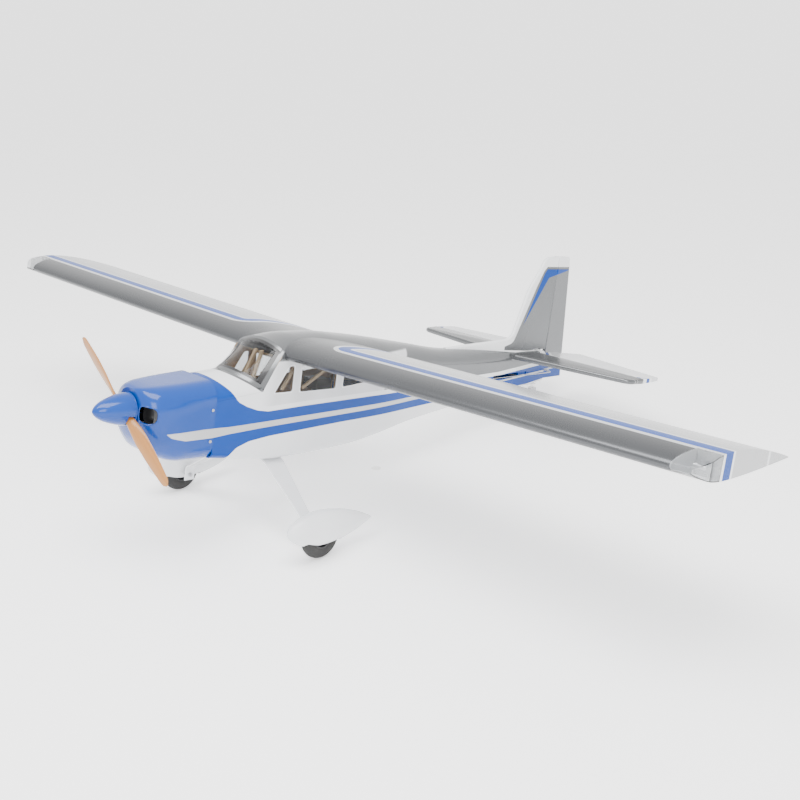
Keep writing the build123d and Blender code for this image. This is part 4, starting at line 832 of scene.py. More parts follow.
def hatch():
    deck = hull(deck_stations, 148.3, PILLAR_Y, pitch=8.0)
    inner = hull(deck_stations, 148.3, PILLAR_Y, WALL, pitch=8.0, front=1.0, rear=1.0)
    behind = prism([(212, 90), (212, 53), (253.5, 28.2), (330, 28), (330, 90)], -90, 90)
    below = prism([(140, 16.3), (148, 16.3), (252, 27.3), (270, 27), (270, -130), (140, -130)], -90, 90)
    shell = carved(deck, inner, behind, below)
    pillar = screen_patch(0, 2, 0.0, 0.995, 0.0, 2.2)
    other = screen_patch(30, 32, 0.0, 0.995, 0.0, 2.2)
    base, head = screen_patch(0, 32, 0.0, 0.075, 0.0, 2.2, 2), screen_patch(0, 32, 0.93, 0.995, 0.0, 2.2, 2)
    finish("hatch_deck", shell.plus(base, pillar, other, head), "hatch", DECK, ["hatch"])
    trims = [screen_patch(2, 4, 0.075, 0.93, 0.1, 3.2), screen_patch(28, 30, 0.075, 0.93, 0.1, 3.2),
             screen_patch(2, 30, 0.075, 0.13, 0.1, 3.2, 1), screen_patch(2, 30, 0.86, 0.93, 0.1, 3.2, 1)]
    trim = trims[0].plus(*trims[1:])
    finish("screen_trim", trim, "hatch", TRIM)
    sheet = screen_patch(3, 29, 0.10, 0.90, 0.5, 1.6)
    finish("windshield_sheet", sheet, "hatch", CLEAR, ["windshield"])


def cabin_structure():
    """Plywood formers, window posts, the diagonal screen struts and the headliner."""
    shape = Shape([], [])
    for y, top in ((262.0, 20.0), (330.0, 78.0), (441.0, 76.0), (540.0, 66.0)):
        half = 63.9 if y < 500 else 63.2
        ring = carved(block((-half, y - 1.5, -78), (half, y + 1.5, top)),
                      prism(rounded([(-half + 9, -67.2), (half - 9, -67.2), (half - 9, top - 9),
                                     (-half + 9, top - 9)], 8.0), y - 3, y + 3, "Y"))
        shape = shape.plus(ring)
    finish("cabin_formers_ply", shape, "airframe", PLY, ["cabin_formers"], bevel=0.3)
    struts = Shape([], [])
    for x, lean in ((-8.0, -6.0), (8.0, 6.0)):
        foot, head = (x + lean, 262.0, 14.0), (x, 290.0, 88.0)
        corners = []
        for px, py, pz in (foot, head):
            corners.append([(px - 3, py - 3, pz), (px + 3, py - 3, pz), (px + 3, py + 3, pz),
                            (px - 3, py + 3, pz)])
        struts = struts.plus(loft(corners))
    for start, end in (((302, 24), (332, 70)), ((352, 24), (426, 66)), ((462, 62), (500, 30))):
        for x in (58.0, -58.0):
            run = Vector(end) - Vector(start)
            across = Vector((-run.y, run.x)).normalized() * 3.0
            outline = [tuple(Vector(start) + across), tuple(Vector(start) - across),
                       tuple(Vector(end) - across),
                       tuple(Vector(end) + across)]
            struts = struts.plus(prism(outline, x - 2, x + 2))
    struts = struts.plus(block((-60, 300, 80), (60, 540, 82.5)))
    finish("cabin_struts", struts, "airframe", BALSA, bevel=0.4)
    hatch_gap = prism([(240, 16), (PILLAR_Y, 27), (252, 29), (296, 97), (296, 140), (240, 140)], -90, 90)
    liner = carved(hull(body_stations, 254.0, 556.0, WALL + 0.05),
                   hull(body_stations, 254.0, 556.0, WALL + 0.8,
                   front=1.0, rear=1.0), hatch_gap, *window_holes())
    finish("cabin_lining", liner, "airframe", PLY)


# ---------------------------------------------------------------- cowl, spinner and propeller
cowl_stations = [(14, 31.5, -32, 35.5, 29), (22, 50, -52, 38.5, 34), (44, 61.5, -77, 42, 36),
                 (90, 65, -91, 45.5, 34),
                 (147.7, 65, -92, 49.5, 32)]
INLET = (42.0, -2.0, 15.0, 12.0)  # x, z, half width and corner
COWL_WALL = 1.5


def cowl_ring(y, inset=0.0, at=None):
    """A rounded rectangle, with a soft hollow behind each air inlet under the shoulder."""
    half, bottom, top, corner = (curve_value(cowl_stations, y, c) for c in range(1, 5))
    half, bottom, top, corner = half - inset, bottom + inset, top - inset, max(corner - inset, 4.0)
    corner = min(corner, half - 0.5, (top - bottom) / 2 - 0.5)
    centre = (top + bottom) / 2
    high = (top - bottom) / 2
    ring = []
    for quarter in range(4):
        sx, sz = ((1, 1), (-1, 1), (-1, -1), (1, -1))[quarter]
        for i in range(12):
            a = pi / 2 * (quarter + i / 12)
            ring.append((sx * (half - corner) + corner * cos(a), y if at is None else at,
                         centre + sz * (high - corner) + corner * sin(a)))
        nx, nz = ((-1, 1), (-1, -1), (1, -1), (1, 1))[quarter]
        a = pi / 2 * (quarter + 1)
        start = (sx * (half - corner) + corner * cos(a), centre + sz * (high - corner) + corner * sin(a))
        end = (nx * (half - corner) + corner * cos(a), centre + nz * (high - corner) + corner * sin(a))
        for i in range(6):
            ring.append((between(start[0], end[0], i / 6), y if at is None else at,
                         between(start[1], end[1], i / 6)))
    shaped = []
    for x, py, z in ring:
        share = min(max((y - 18) / 100, 0.0), 1.0)
        valley = sin(pi * share) * 2.2
        line = 20.0 - share * 2.0
        dent = valley / (1 + ((z - line) / 9.0) ** 2)
        low = sin(pi * share) * 2.0 / (1 + ((z + 58.0) / 8.0) ** 2)
        shrink = 1 - (dent + low) / max(abs(x), 30.0) if abs(x) > 25 else 1.0
        shaped.append((x * shrink, py, z))
    return shaped


def cowl():
    places = [14, 15, 17, 19.5, 22, 26, 31, 37, 44, 52, 61, 71, 81, 92, 105, 119, 133, 147.7]
    outer = loft([cowl_ring(y) for y in places])
    lining = [cowl_ring(y, COWL_WALL, at=y + COWL_WALL) for y in places[:-1]]
    inner = loft(lining + [cowl_ring(places[-1], COWL_WALL, at=149.0)])
    spinner_hole = turned([(-8, 0), (-8, 21), (8, 21), (8, 0)], (0, 14, 0), "Y")
    ix, iz, reach, corner = INLET
    outline = rounded([(ix - reach, iz - reach), (ix + reach, iz - reach), (ix + reach, iz + reach),
                       (ix - reach, iz + reach)], corner, 10)
    inlet = prism(outline, 0, 48, "Y")
    outlet = block((-34, 101.7, -110), (34, 150, -80))
    shell = carved(outer, inner, spinner_hole, inlet, inlet.mirror(), outlet)
    skin = outer.mesh("probe")
    tree = BVHTree.FromPolygons([v.co for v in skin.vertices], [p.vertices for p in skin.polygons])
    lip = []
    for x, z in outline:
        hit = tree.ray_cast(Vector((x * MM, -0.05, z * MM)), Vector((0, 1, 0)))[0]
        if hit:
            lip.append((x, hit.y / MM + 0.6, z))
        else:
            lip.append((min(x, 57.0), 47.0, z))
    rim = tube(lip, 1.3)
    finish("cowl_shell", shell.plus(rim, rim.mirror()), "airframe", COWL, ["cowl"])
    duct = carved(loft([[(x, y, z) for x, z in outline] for y in (24, 30, 60)], capped=False).plus(
        prism(outline, 58, 60, "Y")))
    ring = turned([(14.3, 21.2), (13.6, 21.8), (13.0, 22.4), (13.4, 24.4), (14.6, 25.4)], (0, 0, 0), "Y")
    finish("cowl_inlet_ducts", duct.plus(duct.mirror()), "airframe", BLACK_PLASTIC)
    finish("cowl_nose_ring", ring, "airframe", BLUE_GLOSS)


SPINNER_WALL, BLADE_PITCH = 1.6, 165.0
SPINNER = [(-58.0, 0.0), (-57.2, 2.6), (-55.2, 5.6), (-52.0, 8.9), (-47.6, 12.4), (-42.4, 15.5),
           (-37.9, 17.7),
           (-30.0, 20.7), (-22.0, 23.2), (-14.0, 25.3), (-6.0, 27.0), (2.0, 28.1), (9.0, 28.5)]


def spinner():
    inside = [(y + SPINNER_WALL if i == 0 else y, max(r - SPINNER_WALL, 0.0)) for i,
              (y, r) in enumerate(SPINNER)]
    shell = turned(SPINNER + list(reversed(inside)) + [SPINNER[0]], (0, 0, 0), "Y", 96)
    notch = block((-32, BLADE_PLANE_Y - 7, -10), (32, BLADE_PLANE_Y + 9, 10))
    notch = notch.moved(Matrix.Rotation(PROP_REST, 4, "Y"))
    finish("spinner_shell", carved(shell, notch), "propeller", BLUE_GLOSS, ["spinner_cone"])
    plate = turned([(9.2, 3.1), (9.2, 27.6), (9.5, 28.2), (10.0, 28.5), (11.6, 28.5), (12.0, 28.1),
                    (12.0, 3.1),
                    (9.2, 3.1)], (0, 0, 0), "Y", 96)
    finish("spinner_plate", plate, "propeller", BLUE_GLOSS, ["spinner_backplate"])


def propeller():
    """Two carved wooden blades: thin lens sections, twisted to one pitch, with round tips."""
    rings = []
    for step in range(30):
        share = between(0.06, 1.0, step / 29)
        radius = PROP_R * share
        chord = between(12.0, 26.0, min(1.0, (share - 0.06) / 0.34)) - 34.0 * max(0.0, share - 0.6) ** 1.3
        if share > 0.93:
            chord *= sqrt(max(1 - ((share - 0.93) / 0.0725) ** 2, 0.01))
        thick = between(8.5, 2.2, min(1.0, share * 1.15))
        angle = atan2(BLADE_PITCH, 2 * pi * radius)
        ring = []
        for j in range(24):
            a = 2 * pi * j / 24
            u, v = chord / 2 * cos(a), thick * (0.62 if sin(a) > 0 else 0.28) * sin(a) * abs(sin(a)) ** 0.2
            ring.append((radius, u * sin(angle) - v * cos(angle), u * cos(angle) + v * sin(angle)))
        rings.append(ring)
    blade = loft(rings)
    other = blade.moved(Matrix.Rotation(pi, 4, "Y"))
    hub = turned([(-6.4, 3.1), (-6.4, 10.8), (-5.6, 11.8), (5.6, 11.8), (6.4, 10.8), (6.4, 3.1), (-6.4, 3.1)],
                 (0, 0, 0), "Y")
    finish("propeller_wood", blade.plus(other, hub), "propeller", PROP, ["propeller"],
           prop_place)


# ---------------------------------------------------------------- main gear
AXLE = (206.0, 294.0, -205.5)
PANT_FRONT, PANT_LENGTH, PANT_HALF, PANT_TALL, PANT_Z = 215.0, 206.0, 24.0, 33.5, -190.0
PANT_WALL, STRAP, WELL_HALF = 1.5, 3.0, 14.5
WHEEL_R, WHEEL_HALF, HUB_R = 41.0, 11.0, 21.0


def wheels():
    tread = [(-WHEEL_HALF + 1, HUB_R), (-WHEEL_HALF + 0.2, HUB_R + 2)]
    for i in range(25):
        a = between(-1.32, 1.32, i / 24)
        tread.append((WHEEL_HALF * sin(a) / sin(1.32) * (1 - 0.02 * cos(a)),
                      between(30.0, WHEEL_R, cos(a) ** 0.75)))
    tread += [(WHEEL_HALF - 0.2, HUB_R + 2), (WHEEL_HALF - 1, HUB_R), (-WHEEL_HALF + 1, HUB_R)]
    both_sides("tyre_{}", turned(tread, AXLE, "X", 72), "{}_wheel", RUBBER, "{}_tyre")
    half = [(10, 20.9), (10, 18.4), (8.6, 17.4), (6.0, 15.5), (6.2, 8.0), (7.2, 6.4), (10, 6.0), (10, 2.1)]
    hub = [(-along, radius) for along, radius in reversed(half)] + half + [(-10, 2.1)]
    disc = turned(hub, AXLE, "X", 72)
    holes = []
    for i in range(6):
        a = 2 * pi * i / 6
        spot = (AXLE[0], AXLE[1] + 11.8 * cos(a), AXLE[2] + 11.8 * sin(a))
        holes.append(turned([(-20, 0), (-20, 2.6), (20, 2.6), (20, 0)], spot, "X", 20))
    both_sides("wheel_hub_{}", carved(disc, *holes), "{}_wheel", BLACK_PLASTIC,
               "{}_wheel_hub")


PANT_SHARES = [(0.0, 0.10), (0.02, 0.30), (0.06, 0.50), (0.18, 0.83), (0.36, 1.0), (0.58, 0.88), (0.8, 0.56),
               (0.94, 0.24), (1.0, 0.09)]


def pants():
    """Thin teardrop shells, open below round the wheel."""
    def body(inset):
        rings = []
        for i in range(49):
            share = (i / 48) ** 1.5
            full = curve_value(PANT_SHARES, share, 1)
            y = PANT_FRONT + between(inset, PANT_LENGTH - inset, share)
            wide, tall = max(PANT_HALF * full - inset, 0.5), max(PANT_TALL * full - inset, 0.6)
            rings.append([(AXLE[0] + wide * cos(2 * pi * j / 40), y, PANT_Z + tall * sin(2 * pi * j / 40))
                          for j in range(40)])
        return loft(rings)
    low, high = AXLE[0] - WELL_HALF, AXLE[0] + WELL_HALF
    well = prism(rounded([(low, 249.0), (high, 249.0), (high, 339.0), (low, 339.0)], 8.0), -240, -205, "Z")
    bore = turned([(-10, 0), (-10, 5), (10, 5), (10, 0)], (182.0, AXLE[1], AXLE[2]), "X", 24)
    both_sides("wheel_pant_shell_{}", carved(body(0.0), body(PANT_WALL), well, bore), "airframe",
               WHITE_GLOSS, "{}_wheel_pant")


def landing_gear():
    """A bent strap that tapers from the belly to the axle plates."""
    line = [(0, -106.4), (42, -106.4)]
    for i in range(1, 8):
        a = radians(30.0) * i / 8
        line.append((42 + 16 * sin(a), -106.4 - 16 * (1 - cos(a)) * 1.1))
    line += [(60, -112.9), (164, -181.5)]
    for i in range(1, 7):
        t = i / 7
        line.append((between(164, 176, 1 - (1 - t) ** 2), between(-181.5, -196, t**1.4)))
    line += [(176, -197.5), (176, -217)]
    half = []
    for i, (x, z) in enumerate(line):
        before, after = line[max(i - 1, 0)], line[min(i + 1, len(line) - 1)]
        run = Vector((after[0] - before[0], after[1] - before[1])).normalized()
        normal = Vector((run.y, -run.x))
        share = min(max((-z - 112.0) / 78.0, 0.0), 1.0)
        front, rear = between(281.0, 282.0, share), between(327.0, 306.0, share)
        inner = Vector((x, z)) + normal * STRAP
        ring = [(x, front + 0.8, z), (x, rear - 0.8, z)]
        ring += [(between(x, inner.x, 0.3), rear, between(z, inner.y, 0.3)),
                 (between(x, inner.x, 0.7), rear, between(z, inner.y, 0.7))]
        ring += [(inner.x, rear - 0.8, inner.y), (inner.x, front + 0.8, inner.y)]
        ring += [(between(x, inner.x, 0.7), front, between(z, inner.y, 0.7)),
                 (between(x, inner.x, 0.3), front, between(z, inner.y, 0.3))]
        half.append(ring)
    right = [[(-x, y, z) for x, y, z in ring] for ring in reversed(half[1:])]
    bore = turned([(-250, 0), (-250, 2.1), (250, 2.1), (250, 0)], (0, AXLE[1], AXLE[2]), "X", 20)
    strap = carved(loft(right + half), bore)
    finish("landing_gear_strap", strap, "airframe", WHITE_GLOSS, ["landing_gear"])


def screw_head(spot, direction, radius=2.6, height=1.4):
    """A round head with a hexagonal socket, facing along one axis."""
    rings = []
    profile = [(0.0, radius, 0), (height * 0.6, radius, 0), (height * 0.9, radius * 0.9, 0),
               (height, radius * 0.75, 0),
               (height, radius * 0.5, 1), (height * 0.35, radius * 0.48, 1)]
    for rise, r, hexed in profile:
        ring = []
        for j in range(24):
            a = 2 * pi * j / 24
            reach = r * cos(pi / 6) / cos((a % (pi / 3)) - pi / 6) if hexed else r
            ring.append((reach * cos(a), reach * sin(a), rise))
        rings.append(ring)
    shape = loft(rings)
    turn = Vector((0, 0, 1)).rotation_difference(Vector(direction)).to_matrix().to_4x4()
    return shape.moved(Matrix.Translation(Vector(spot)) @ turn)


def screws():
    shape = Shape([], [])
    for z in (2.0, -54.0):
        head = screw_head((65.2, 140.7, z), (1, 0, 0))
        shape = shape.plus(head, head.mirror())
    for x in (20, 36):
        head = screw_head((x, 305, -109.5), (0, 0, -1), 3.2, 1.8)
        shape = shape.plus(head, head.mirror())
    finish("screw_heads", shape, "airframe", STEEL, ["screws"])
    tail_spots = [(1073, 45), (1089, 42), (1085, 31), (1189, 42)]
    extra = Shape([], [])
    for y, z in tail_spots:
        half = 23.7 if y < 1170 else curve_value(body_stations, y, 1)
        head = screw_head((half - 0.2, y, min(z, 40)), (1, 0, 0), 1.7, 0.9)
        extra = extra.plus(head, head.mirror())
    finish("tail_screws", extra, "airframe", STEEL)


# ---------------------------------------------------------------- wing
def camber_line(share):
    if share < CAMBER_AT:
        return CAMBER / CAMBER_AT**2 * (2 * CAMBER_AT * share - share**2)
    return CAMBER / (1 - CAMBER_AT) ** 2 * (1 - 2 * CAMBER_AT + 2 * CAMBER_AT * share - share**2)


def half_thickness(share):
    curve = 0.2969 * sqrt(share) - 0.1260 * share - 0.3516 * share**2 + 0.2843 * share**3 - 0.1036 * share**4
    return 5 * THICKNESS * curve + TRAILING / 2 / CHORD * share


def skin_z(share, sign, inset=0.0):
    return CHORD * (camber_line(share) + sign * half_thickness(share)) - sign * inset


def section(start, end, inset=0.0, count=30):
    """The wing section as a closed loop of (y, z): over the top to the rear, and back underneath."""
    shares = [between(start, end, 1 - cos(pi / 2 * i / (count - 1))) for i in range(count)]
    top = [(s * CHORD, skin_z(s, 1, inset)) for s in shares]
    low = [(s * CHORD, skin_z(s, -1, inset)) for s in reversed(shares)]
    return top + (low if start > 0 else low[:-1])


def run_section(outline, places):
    return loft([[(x, y, z) for y, z in outline] for x in places])


rear_share = HINGE_AT - HINGE_GAP / 2 / CHORD


def servo_places():
    return between(*FLAP, 0.42), between(*AILERON, 0.42)


def lens_prism(grow=0.0):
    plan = [(panel_length - LENS_SPAN - grow, -3), (panel_length + 3, -3),
            (panel_length + 3, LENS_CHORD + grow),
            (panel_length - LENS_SPAN + LENS_SLANT - grow, LENS_CHORD + grow)]
    return prism(plan, -60, 60, "Z")


def corner_cut():
    """What is rounded off the tip's front corner in plan."""
    arc = [(panel_length - TIP_ROUND + TIP_ROUND * sin(a), TIP_ROUND - TIP_ROUND * cos(a) - 1.0 + i / 12)
           for i, a in ((i, pi / 2 * i / 12) for i in range(13))]
    return prism(arc + [(panel_length + 20, TIP_ROUND), (panel_length + 20, -20),
                        (panel_length - TIP_ROUND, -20)],
                 -60, 60, "Z")


def wing():
    full = run_section(section(0, 1.0), steps(0, panel_length, 45.0))
    hollow = run_section(section(0.012, rear_share - 3.0 / CHORD, 1.6), (4.0, panel_length - 46.0))
    bay = block((FLAP[0] - 1.5, rear_share * CHORD, -60), (AILERON[1] + 1.5, CHORD + 10, 60))
    slots = [block((x - 6, HINGE_Y - 102, -30), (x + 5, HINGE_Y - 56, 0)) for x in servo_places()]
    bore = turned([(-20, 0), (-20, JOINER_R), (20, JOINER_R), (20, 0)], (0, JOINER_AT * CHORD, 5.5), "X", 32)
    skin = carved(full, hollow, bay, corner_cut(), bore, lens_prism(0.1), *slots)
    both_sides("wing_covering_{}", skin, "airframe", WING, "{}_wing_skin", panel)
    root = level @ Matrix.Translation(Vector((0, *WING_LE)) * MM)
    root = root @ Matrix.Rotation(-INCIDENCE, 4, "X")
    centre = run_section(section(0, 1.0), (-panel_root + 0.1, 0, panel_root - 0.1))
    finish("wing_centre_cover", centre, "airframe", WING, (), root)
    lens = carved(full, corner_cut(), run_section(section(0.006, 0.5, 1.4),
                                                  (panel_length - 60, panel_length - 1.4)),
                  keep_only=lens_prism())
    rib_face = section(0.004, LENS_CHORD / CHORD, 1.5)
    finish("tip_lens_left", lens, "airframe", CLEAR, ["tip_lenses"], panel)
    finish("tip_lens_right", lens, "airframe", CLEAR, (), panel, mirror=True)
    x = panel_length - LENS_SPAN + 0.4
    plate = loft([[(between(x, x + LENS_SLANT, y / LENS_CHORD), y, z) for y, z in rib_face],
                  [(between(x, x + LENS_SLANT, y / LENS_CHORD) + 0.8, y, z) for y, z in rib_face]])
    both_sides("tip_lamp_rib_{}", plate, "airframe", WHITE_PLASTIC, None, panel)
    lamp = turned([(-6, 0), (-6, 5.2), (-1, 5.2), (1, 4.0), (3, 3.4), (9, 3.4), (11, 2.6), (12, 0)],
                  (panel_length - 24, 31, 3.0), "X", 32)
    finish("tip_lamp_left", lamp, "airframe", ALLOY, ["tip_lamps"], panel)
    finish("tip_lamp_right", lamp, "airframe", ALLOY, (), panel, mirror=True)


def bevel_run(height, travel):
    """How far back a bevel runs for a surface to swing by its travel, with 9 degrees to spare."""
    angle = radians(travel + 9)
    return height * sin(angle) / cos(angle)


def surface_outline(up, down):
    """Behind the hinge: a bevelled front, the wing's curves and a thin rear edge."""
    hinge = HINGE_AT + HINGE_GAP / 2 / CHORD
    up_run, down_run = (bevel_run(half_thickness(hinge), travel) for travel in (up, down))
    top = [(s * CHORD, skin_z(s, 1)) for s in (between(hinge + up_run, 1.0, i / 9) for i in range(10))]
    low = [(s * CHORD, skin_z(s, -1)) for s in (between(1.0, hinge + down_run, i / 9) for i in range(10))]
    return top + low + [(hinge * CHORD, CHORD * camber_line(HINGE_AT))]


PIN_HOLE = [(-4, 0), (-4, 0.85), (4, 0.85), (4, 0)]


def horn(pin, front, rear, eye=2.6):
    """A horn plate with a hole for the rod's pin, in y and z."""
    outline = rounded([front, rear, (pin[0] + eye, pin[1] + 1), (pin[0] + eye, pin[1] - eye),
                       (pin[0] - eye, pin[1] - eye), (pin[0] - eye, pin[1] + 1)], 1.6, 4)
    hole = turned(PIN_HOLE, (0, *pin), "X", 16)
    return carved(prism(outline, -0.8, 0.8), hole)


def wing_surfaces():
    pin = (HINGE_Y + 3.0, CHORD * camber_line(HINGE_AT) - 27.0)
    front, rear = HINGE_AT + 12 / CHORD, HINGE_AT + 30 / CHORD
    plate = horn(pin, (front * CHORD, skin_z(front, -1) + 0.5), (rear * CHORD, skin_z(rear, -1) + 0.5))
    for name, (start, end), up, down, horn_x in (("flap", FLAP, 2, 35, servo_places()[0]),
                                                 ("aileron", AILERON, 22, 22, servo_places()[1])):
        shape = run_section(surface_outline(up, down), steps(start, end, 60.0))
        both_sides(f"{name}_covering_{{}}", shape, f"{{}}_{name}", WING, f"{{}}_{name}", panel)
        both_sides(f"{name}_horn_{{}}", plate.moved(Matrix.Translation((horn_x, 0, 0))), f"{{}}_{name}",
                   WHITE_PLASTIC, None, panel, 0.2)


# ---------------------------------------------------------------- tail
STAB_Z, STAB_T, ELEVATOR_Y, TAIL_HALF = 38.0, 11.0, 1168.0, 303.0
FIN_T, RUDDER_Y = 10.0, 1214.0


def rounded_plate(outline, thick, put, soft, hard=lambda p: False):
    """A plate with a half-round edge, but square wherever `hard` says so."""
    rings = []
    for i in range(9):
        a = between(-pi / 2, pi / 2, i / 8)
        height, inset = thick / 2 * sin(a), soft * (1 - cos(a))
        total = len(outline)
        ring = []
        for j, point in enumerate(outline):
            before, after = Vector(outline[j - 1]), Vector(outline[(j + 1) % total])
            run = (after - before).normalized()
            move = 0.0 if hard(point) else inset
            ring.append(put(*(Vector(point) + Vector((-run.y, run.x)) * move), height))
        rings.append(ring)
    return loft(rings)


def anticlockwise(points):
    area = sum(points[i - 1][0] * points[i][1] - points[i][0] * points[i - 1][1] for i in range(len(points)))
    return points if area > 0 else list(reversed(points))


def arc_points(points, count=8):
    """A smooth curve through three points."""
    a, b, c = (Vector(p) for p in points)
    middle = b * 2 - (a + c) / 2
    shares = [i / count for i in range(count + 1)]
    return [tuple(a * (1 - t) ** 2 + middle * (2 * t * (1 - t)) + c * t**2) for t in shares]


def tail_plane():
    root, rear = 23.75, ELEVATOR_Y - HINGE_GAP / 2
    outline = [(root, rear), (root, 1064.0)]
    outline += arc_points([(TAIL_HALF - 20, 1111.0), (TAIL_HALF - 5, 1120.0), (TAIL_HALF, 1136.0)])
    outline += [(TAIL_HALF, rear)]
    shape = rounded_plate(anticlockwise(outline), STAB_T, lambda u, v, w: (u, v, STAB_Z + w), 4.9,
                          lambda p: p[1] > rear - 1 or p[0] < root + 1)
    both_sides("stabilizer_covering_{}", shape, "airframe", STAB, "{}_stabilizer")


def wedge(hinge, height, chord, travel):
    front = hinge + HINGE_GAP / 2
    run = bevel_run(height, travel)
    return [(front, 0), (front + run, height), (front + chord, 1.5), (front + chord, -1.5),
            (front + run, -height)]


def elevators():
    front = ELEVATOR_Y + HINGE_GAP / 2
    blank = prism([(y, z + STAB_Z) for y, z in wedge(ELEVATOR_Y, STAB_T / 2, 1298.0 - front, 22)], 0,
                  TAIL_HALF)
    plan = [(TAIL_HALF, front - 2), (24, front - 2), (24, 1236), (53, 1298), (60, 1298),
            (TAIL_HALF - 14, 1243)]
    plan += arc_points([(TAIL_HALF - 14, 1243), (TAIL_HALF - 3.5, 1239), (TAIL_HALF, 1229)])[1:]
    shape = carved(blank, keep_only=prism(plan, STAB_Z - 12, STAB_Z + 12, "Z"))
    plate = horn((ELEVATOR_Y + 4, STAB_Z - 34), (ELEVATOR_Y + 12, STAB_Z - 5),
                 (ELEVATOR_Y + 30, STAB_Z - 4.6))
    both_sides("elevator_covering_{}", shape, "elevator", ELEVATOR, "{}_elevator")
    finish("elevator_horn", plate.moved(Matrix.Translation((-32, 0, 0))), "elevator",
           WHITE_PLASTIC,
           bevel=0.2)


def fin():
    rear = RUDDER_Y - HINGE_GAP / 2
    edge = [(rear, 47), (rear, 273), (1176, 271)]
    edge += arc_points([(1176, 271), (1161, 264), (1152, 248)])[1:]
    edge += [(1112, 192), (1076, 92)]
    edge += arc_points([(1076, 92), (1063, 80.5), (1042, 76)])[1:]
    edge += [(940, 71.8), (830, 67.2), (830, 60), (1000, 46), (1120, 46)]
    shape = rounded_plate(anticlockwise(edge), FIN_T, lambda u, v, w: (w, u, v), 4.0,
                          lambda p: p[0] > rear - 1 or p[1] < 61)
    shape = carved(shape, hull(body_stations, 800.0, 1218.0, -0.1),
                   block((-30, 1055, 10), (30, ELEVATOR_Y, 46.1)),
                   block((-30, 1164, 10), (30, 1192, 49)))
    finish("fin_covering", shape, "airframe", FIN, ["fin"])


def rudder():
    front = RUDDER_Y + HINGE_GAP / 2
    profile = wedge(RUDDER_Y, FIN_T / 2, 1304.0 - front, 28)
    blank = prism([(h, y) for y, h in profile], -27, 273, "Z")
    side_view = [(front - 1, -27), (1304, -27), (1264, 261)]
    side_view += arc_points([(1264, 261), (1261, 269), (1252, 273)])[1:] + [(front - 1, 273)]
    shape = carved(blank, keep_only=prism(side_view, -12, 12))
    finish("rudder_covering", shape, "rudder", FIN, ["rudder"])
    plan = rounded([(4.9, 1224), (4.9, 1240), (25, 1221), (28, 1221), (28, 1215), (22, 1215)], 1.5, 4)
    hole = turned(PIN_HOLE, (25, 1218, -6), "Z", 16)
    finish("rudder_horn", carved(prism(plan, -6.8, -5.2, "Z"), hole), "rudder",
           WHITE_PLASTIC,
           bevel=0.2)


# ---------------------------------------------------------------- materials on the pieces kept from the CAD
KEPT = {
    PLY: ["firewall", "equipment_tray", "wing_frames"],
    ALLOY: ["wing_tube", "tailwheel_bracket", "stabilizer_tube"],
    STEEL: ["wheel_axles", "prop_nut", "elevator_joiner", "elevator_pushrod", "rudder_pushrod",
            "tailwheel_fork",
            "left_aileron_pushrod", "right_aileron_pushrod", "left_flap_pushrod", "right_flap_pushrod"],
    MOTOR: ["motor_stator", "motor_rotor", "motor_mount"],
    BLACK_PLASTIC: ["speed_controller", "servos"],
    WHITE_PLASTIC: ["left_aileron_servo_arm", "right_aileron_servo_arm", "left_flap_servo_arm",
                    "right_flap_servo_arm", "elevator_servo_arm", "rudder_servo_arm"],
    WRAP: ["battery"],
    RUBBER: ["tailwheel"],
}


def dress_kept():
    for material, names in KEPT.items():
        for name in names:
            mesh = frame["nodes"][name].data
            mesh.materials.clear()
            mesh.materials.append(material)


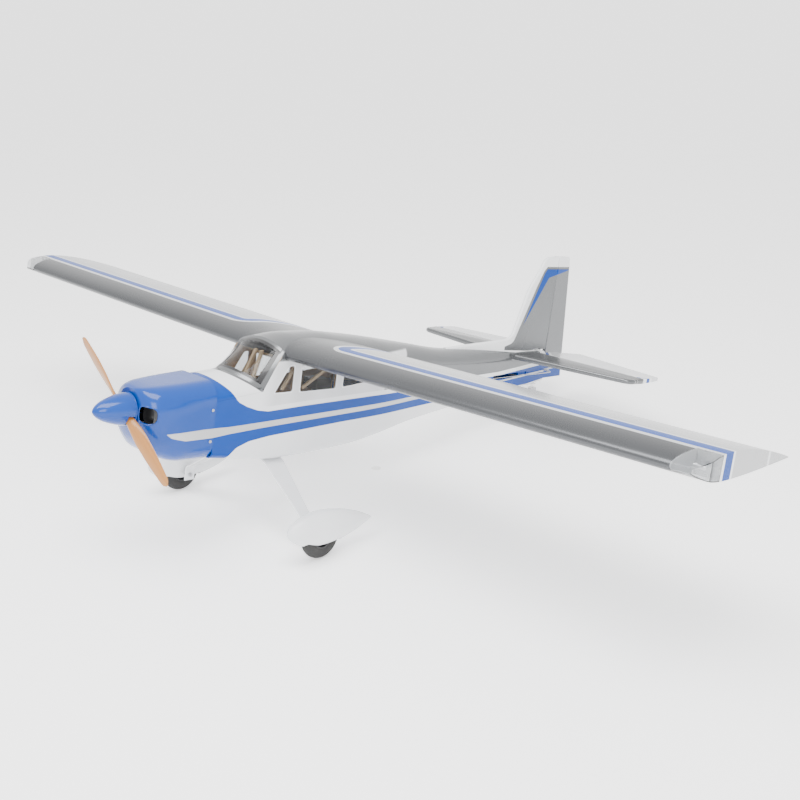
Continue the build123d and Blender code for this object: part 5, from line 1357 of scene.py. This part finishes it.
# ---------------------------------------------------------------- stage
def stage():
    rings = [(0.01, 0.0), (20.0, 0.0), (26.0, 0.1), (32.0, 0.8), (36.0, 2.2), (38.0, 4.0)]
    paper = loft([[(r * cos(2 * pi * j / 96), r * sin(2 * pi * j / 96), z) for j in range(96)] for r,
                  z in rings],
                 capped=False)
    mesh = bpy.data.meshes.new("floor")
    mesh.from_pydata(paper.points, [], paper.faces)
    mesh.polygons.foreach_set("use_smooth", [True] * len(mesh.polygons))
    floor = bpy.data.objects.new("floor", mesh)
    bpy.context.scene.collection.objects.link(floor)
    floor.location.z = -0.0005
    paint = Paint("floor_paper", roughness=0.9, specular=0.1)
    tone = paint.noise(2.0, 2.0)
    paint.colour(paint.blend(tone, (0.97, 0.97, 0.97), (0.955, 0.955, 0.96)))
    paint.shader.inputs["Emission Color"].default_value = (1.0, 1.0, 1.0, 1.0)
    paint.shader.inputs["Emission Strength"].default_value = 0.6
    mesh.materials.append(paint.material)
    floor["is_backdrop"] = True

    world = bpy.data.worlds.new("studio")
    world.use_nodes = True
    world.node_tree.nodes["Background"].inputs["Color"].default_value = (1.0, 1.0, 1.0, 1.0)
    world.node_tree.nodes["Background"].inputs["Strength"].default_value = 1.9
    bpy.context.scene.world = world

    def softbox(name, place, aim, size, power):
        light = bpy.data.lights.new(name, "AREA")
        light.shape, light.size, light.size_y, light.energy = "RECTANGLE", size[0], size[1], power
        lamp = bpy.data.objects.new(name, light)
        lamp.location = place
        lamp.rotation_euler = (Vector(aim) - Vector(place)).to_track_quat("-Z", "Y").to_euler()
        bpy.context.scene.collection.objects.link(lamp)

    softbox("overhead", (0.4, -0.9, 2.4), (0, -0.1, 0.1), (2.4, 1.2), 90)
    softbox("front_left", (2.4, -2.2, 1.6), (0, -0.2, 0.2), (1.4, 1.4), 45)


def camera():
    """The photograph's view: three quarters from the front left, a little above."""
    target, distance = Vector((0.0038, -0.1124, 0.2017)), 2.171
    azimuth, elevation = 0.79533, 0.33503
    away = Vector((sin(azimuth) * cos(elevation), -cos(azimuth) * cos(elevation), sin(elevation)))
    lens = bpy.data.cameras.new("camera")
    lens.lens, lens.sensor_width = 48.88, 36.0
    lens.shift_x, lens.shift_y = 0.0755, -0.0112
    lens.clip_start, lens.clip_end = 0.05, 100.0
    view = bpy.data.objects.new("camera", lens)
    view.location = target + away * distance
    view.rotation_euler = (-away).to_track_quat("-Z", "Y").to_euler()
    bpy.context.scene.collection.objects.link(view)
    bpy.context.scene.camera = view


camera()
stage()
dress_kept()
for build in (fuselage, window_frames, hatch, cabin_structure, cowl, spinner, propeller, wheels, pants,
              landing_gear, screws, wing, wing_surfaces, tail_plane, elevators, fin, rudder):
    build()

[[list(corner) for corner in box] for box in (cad_box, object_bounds())]
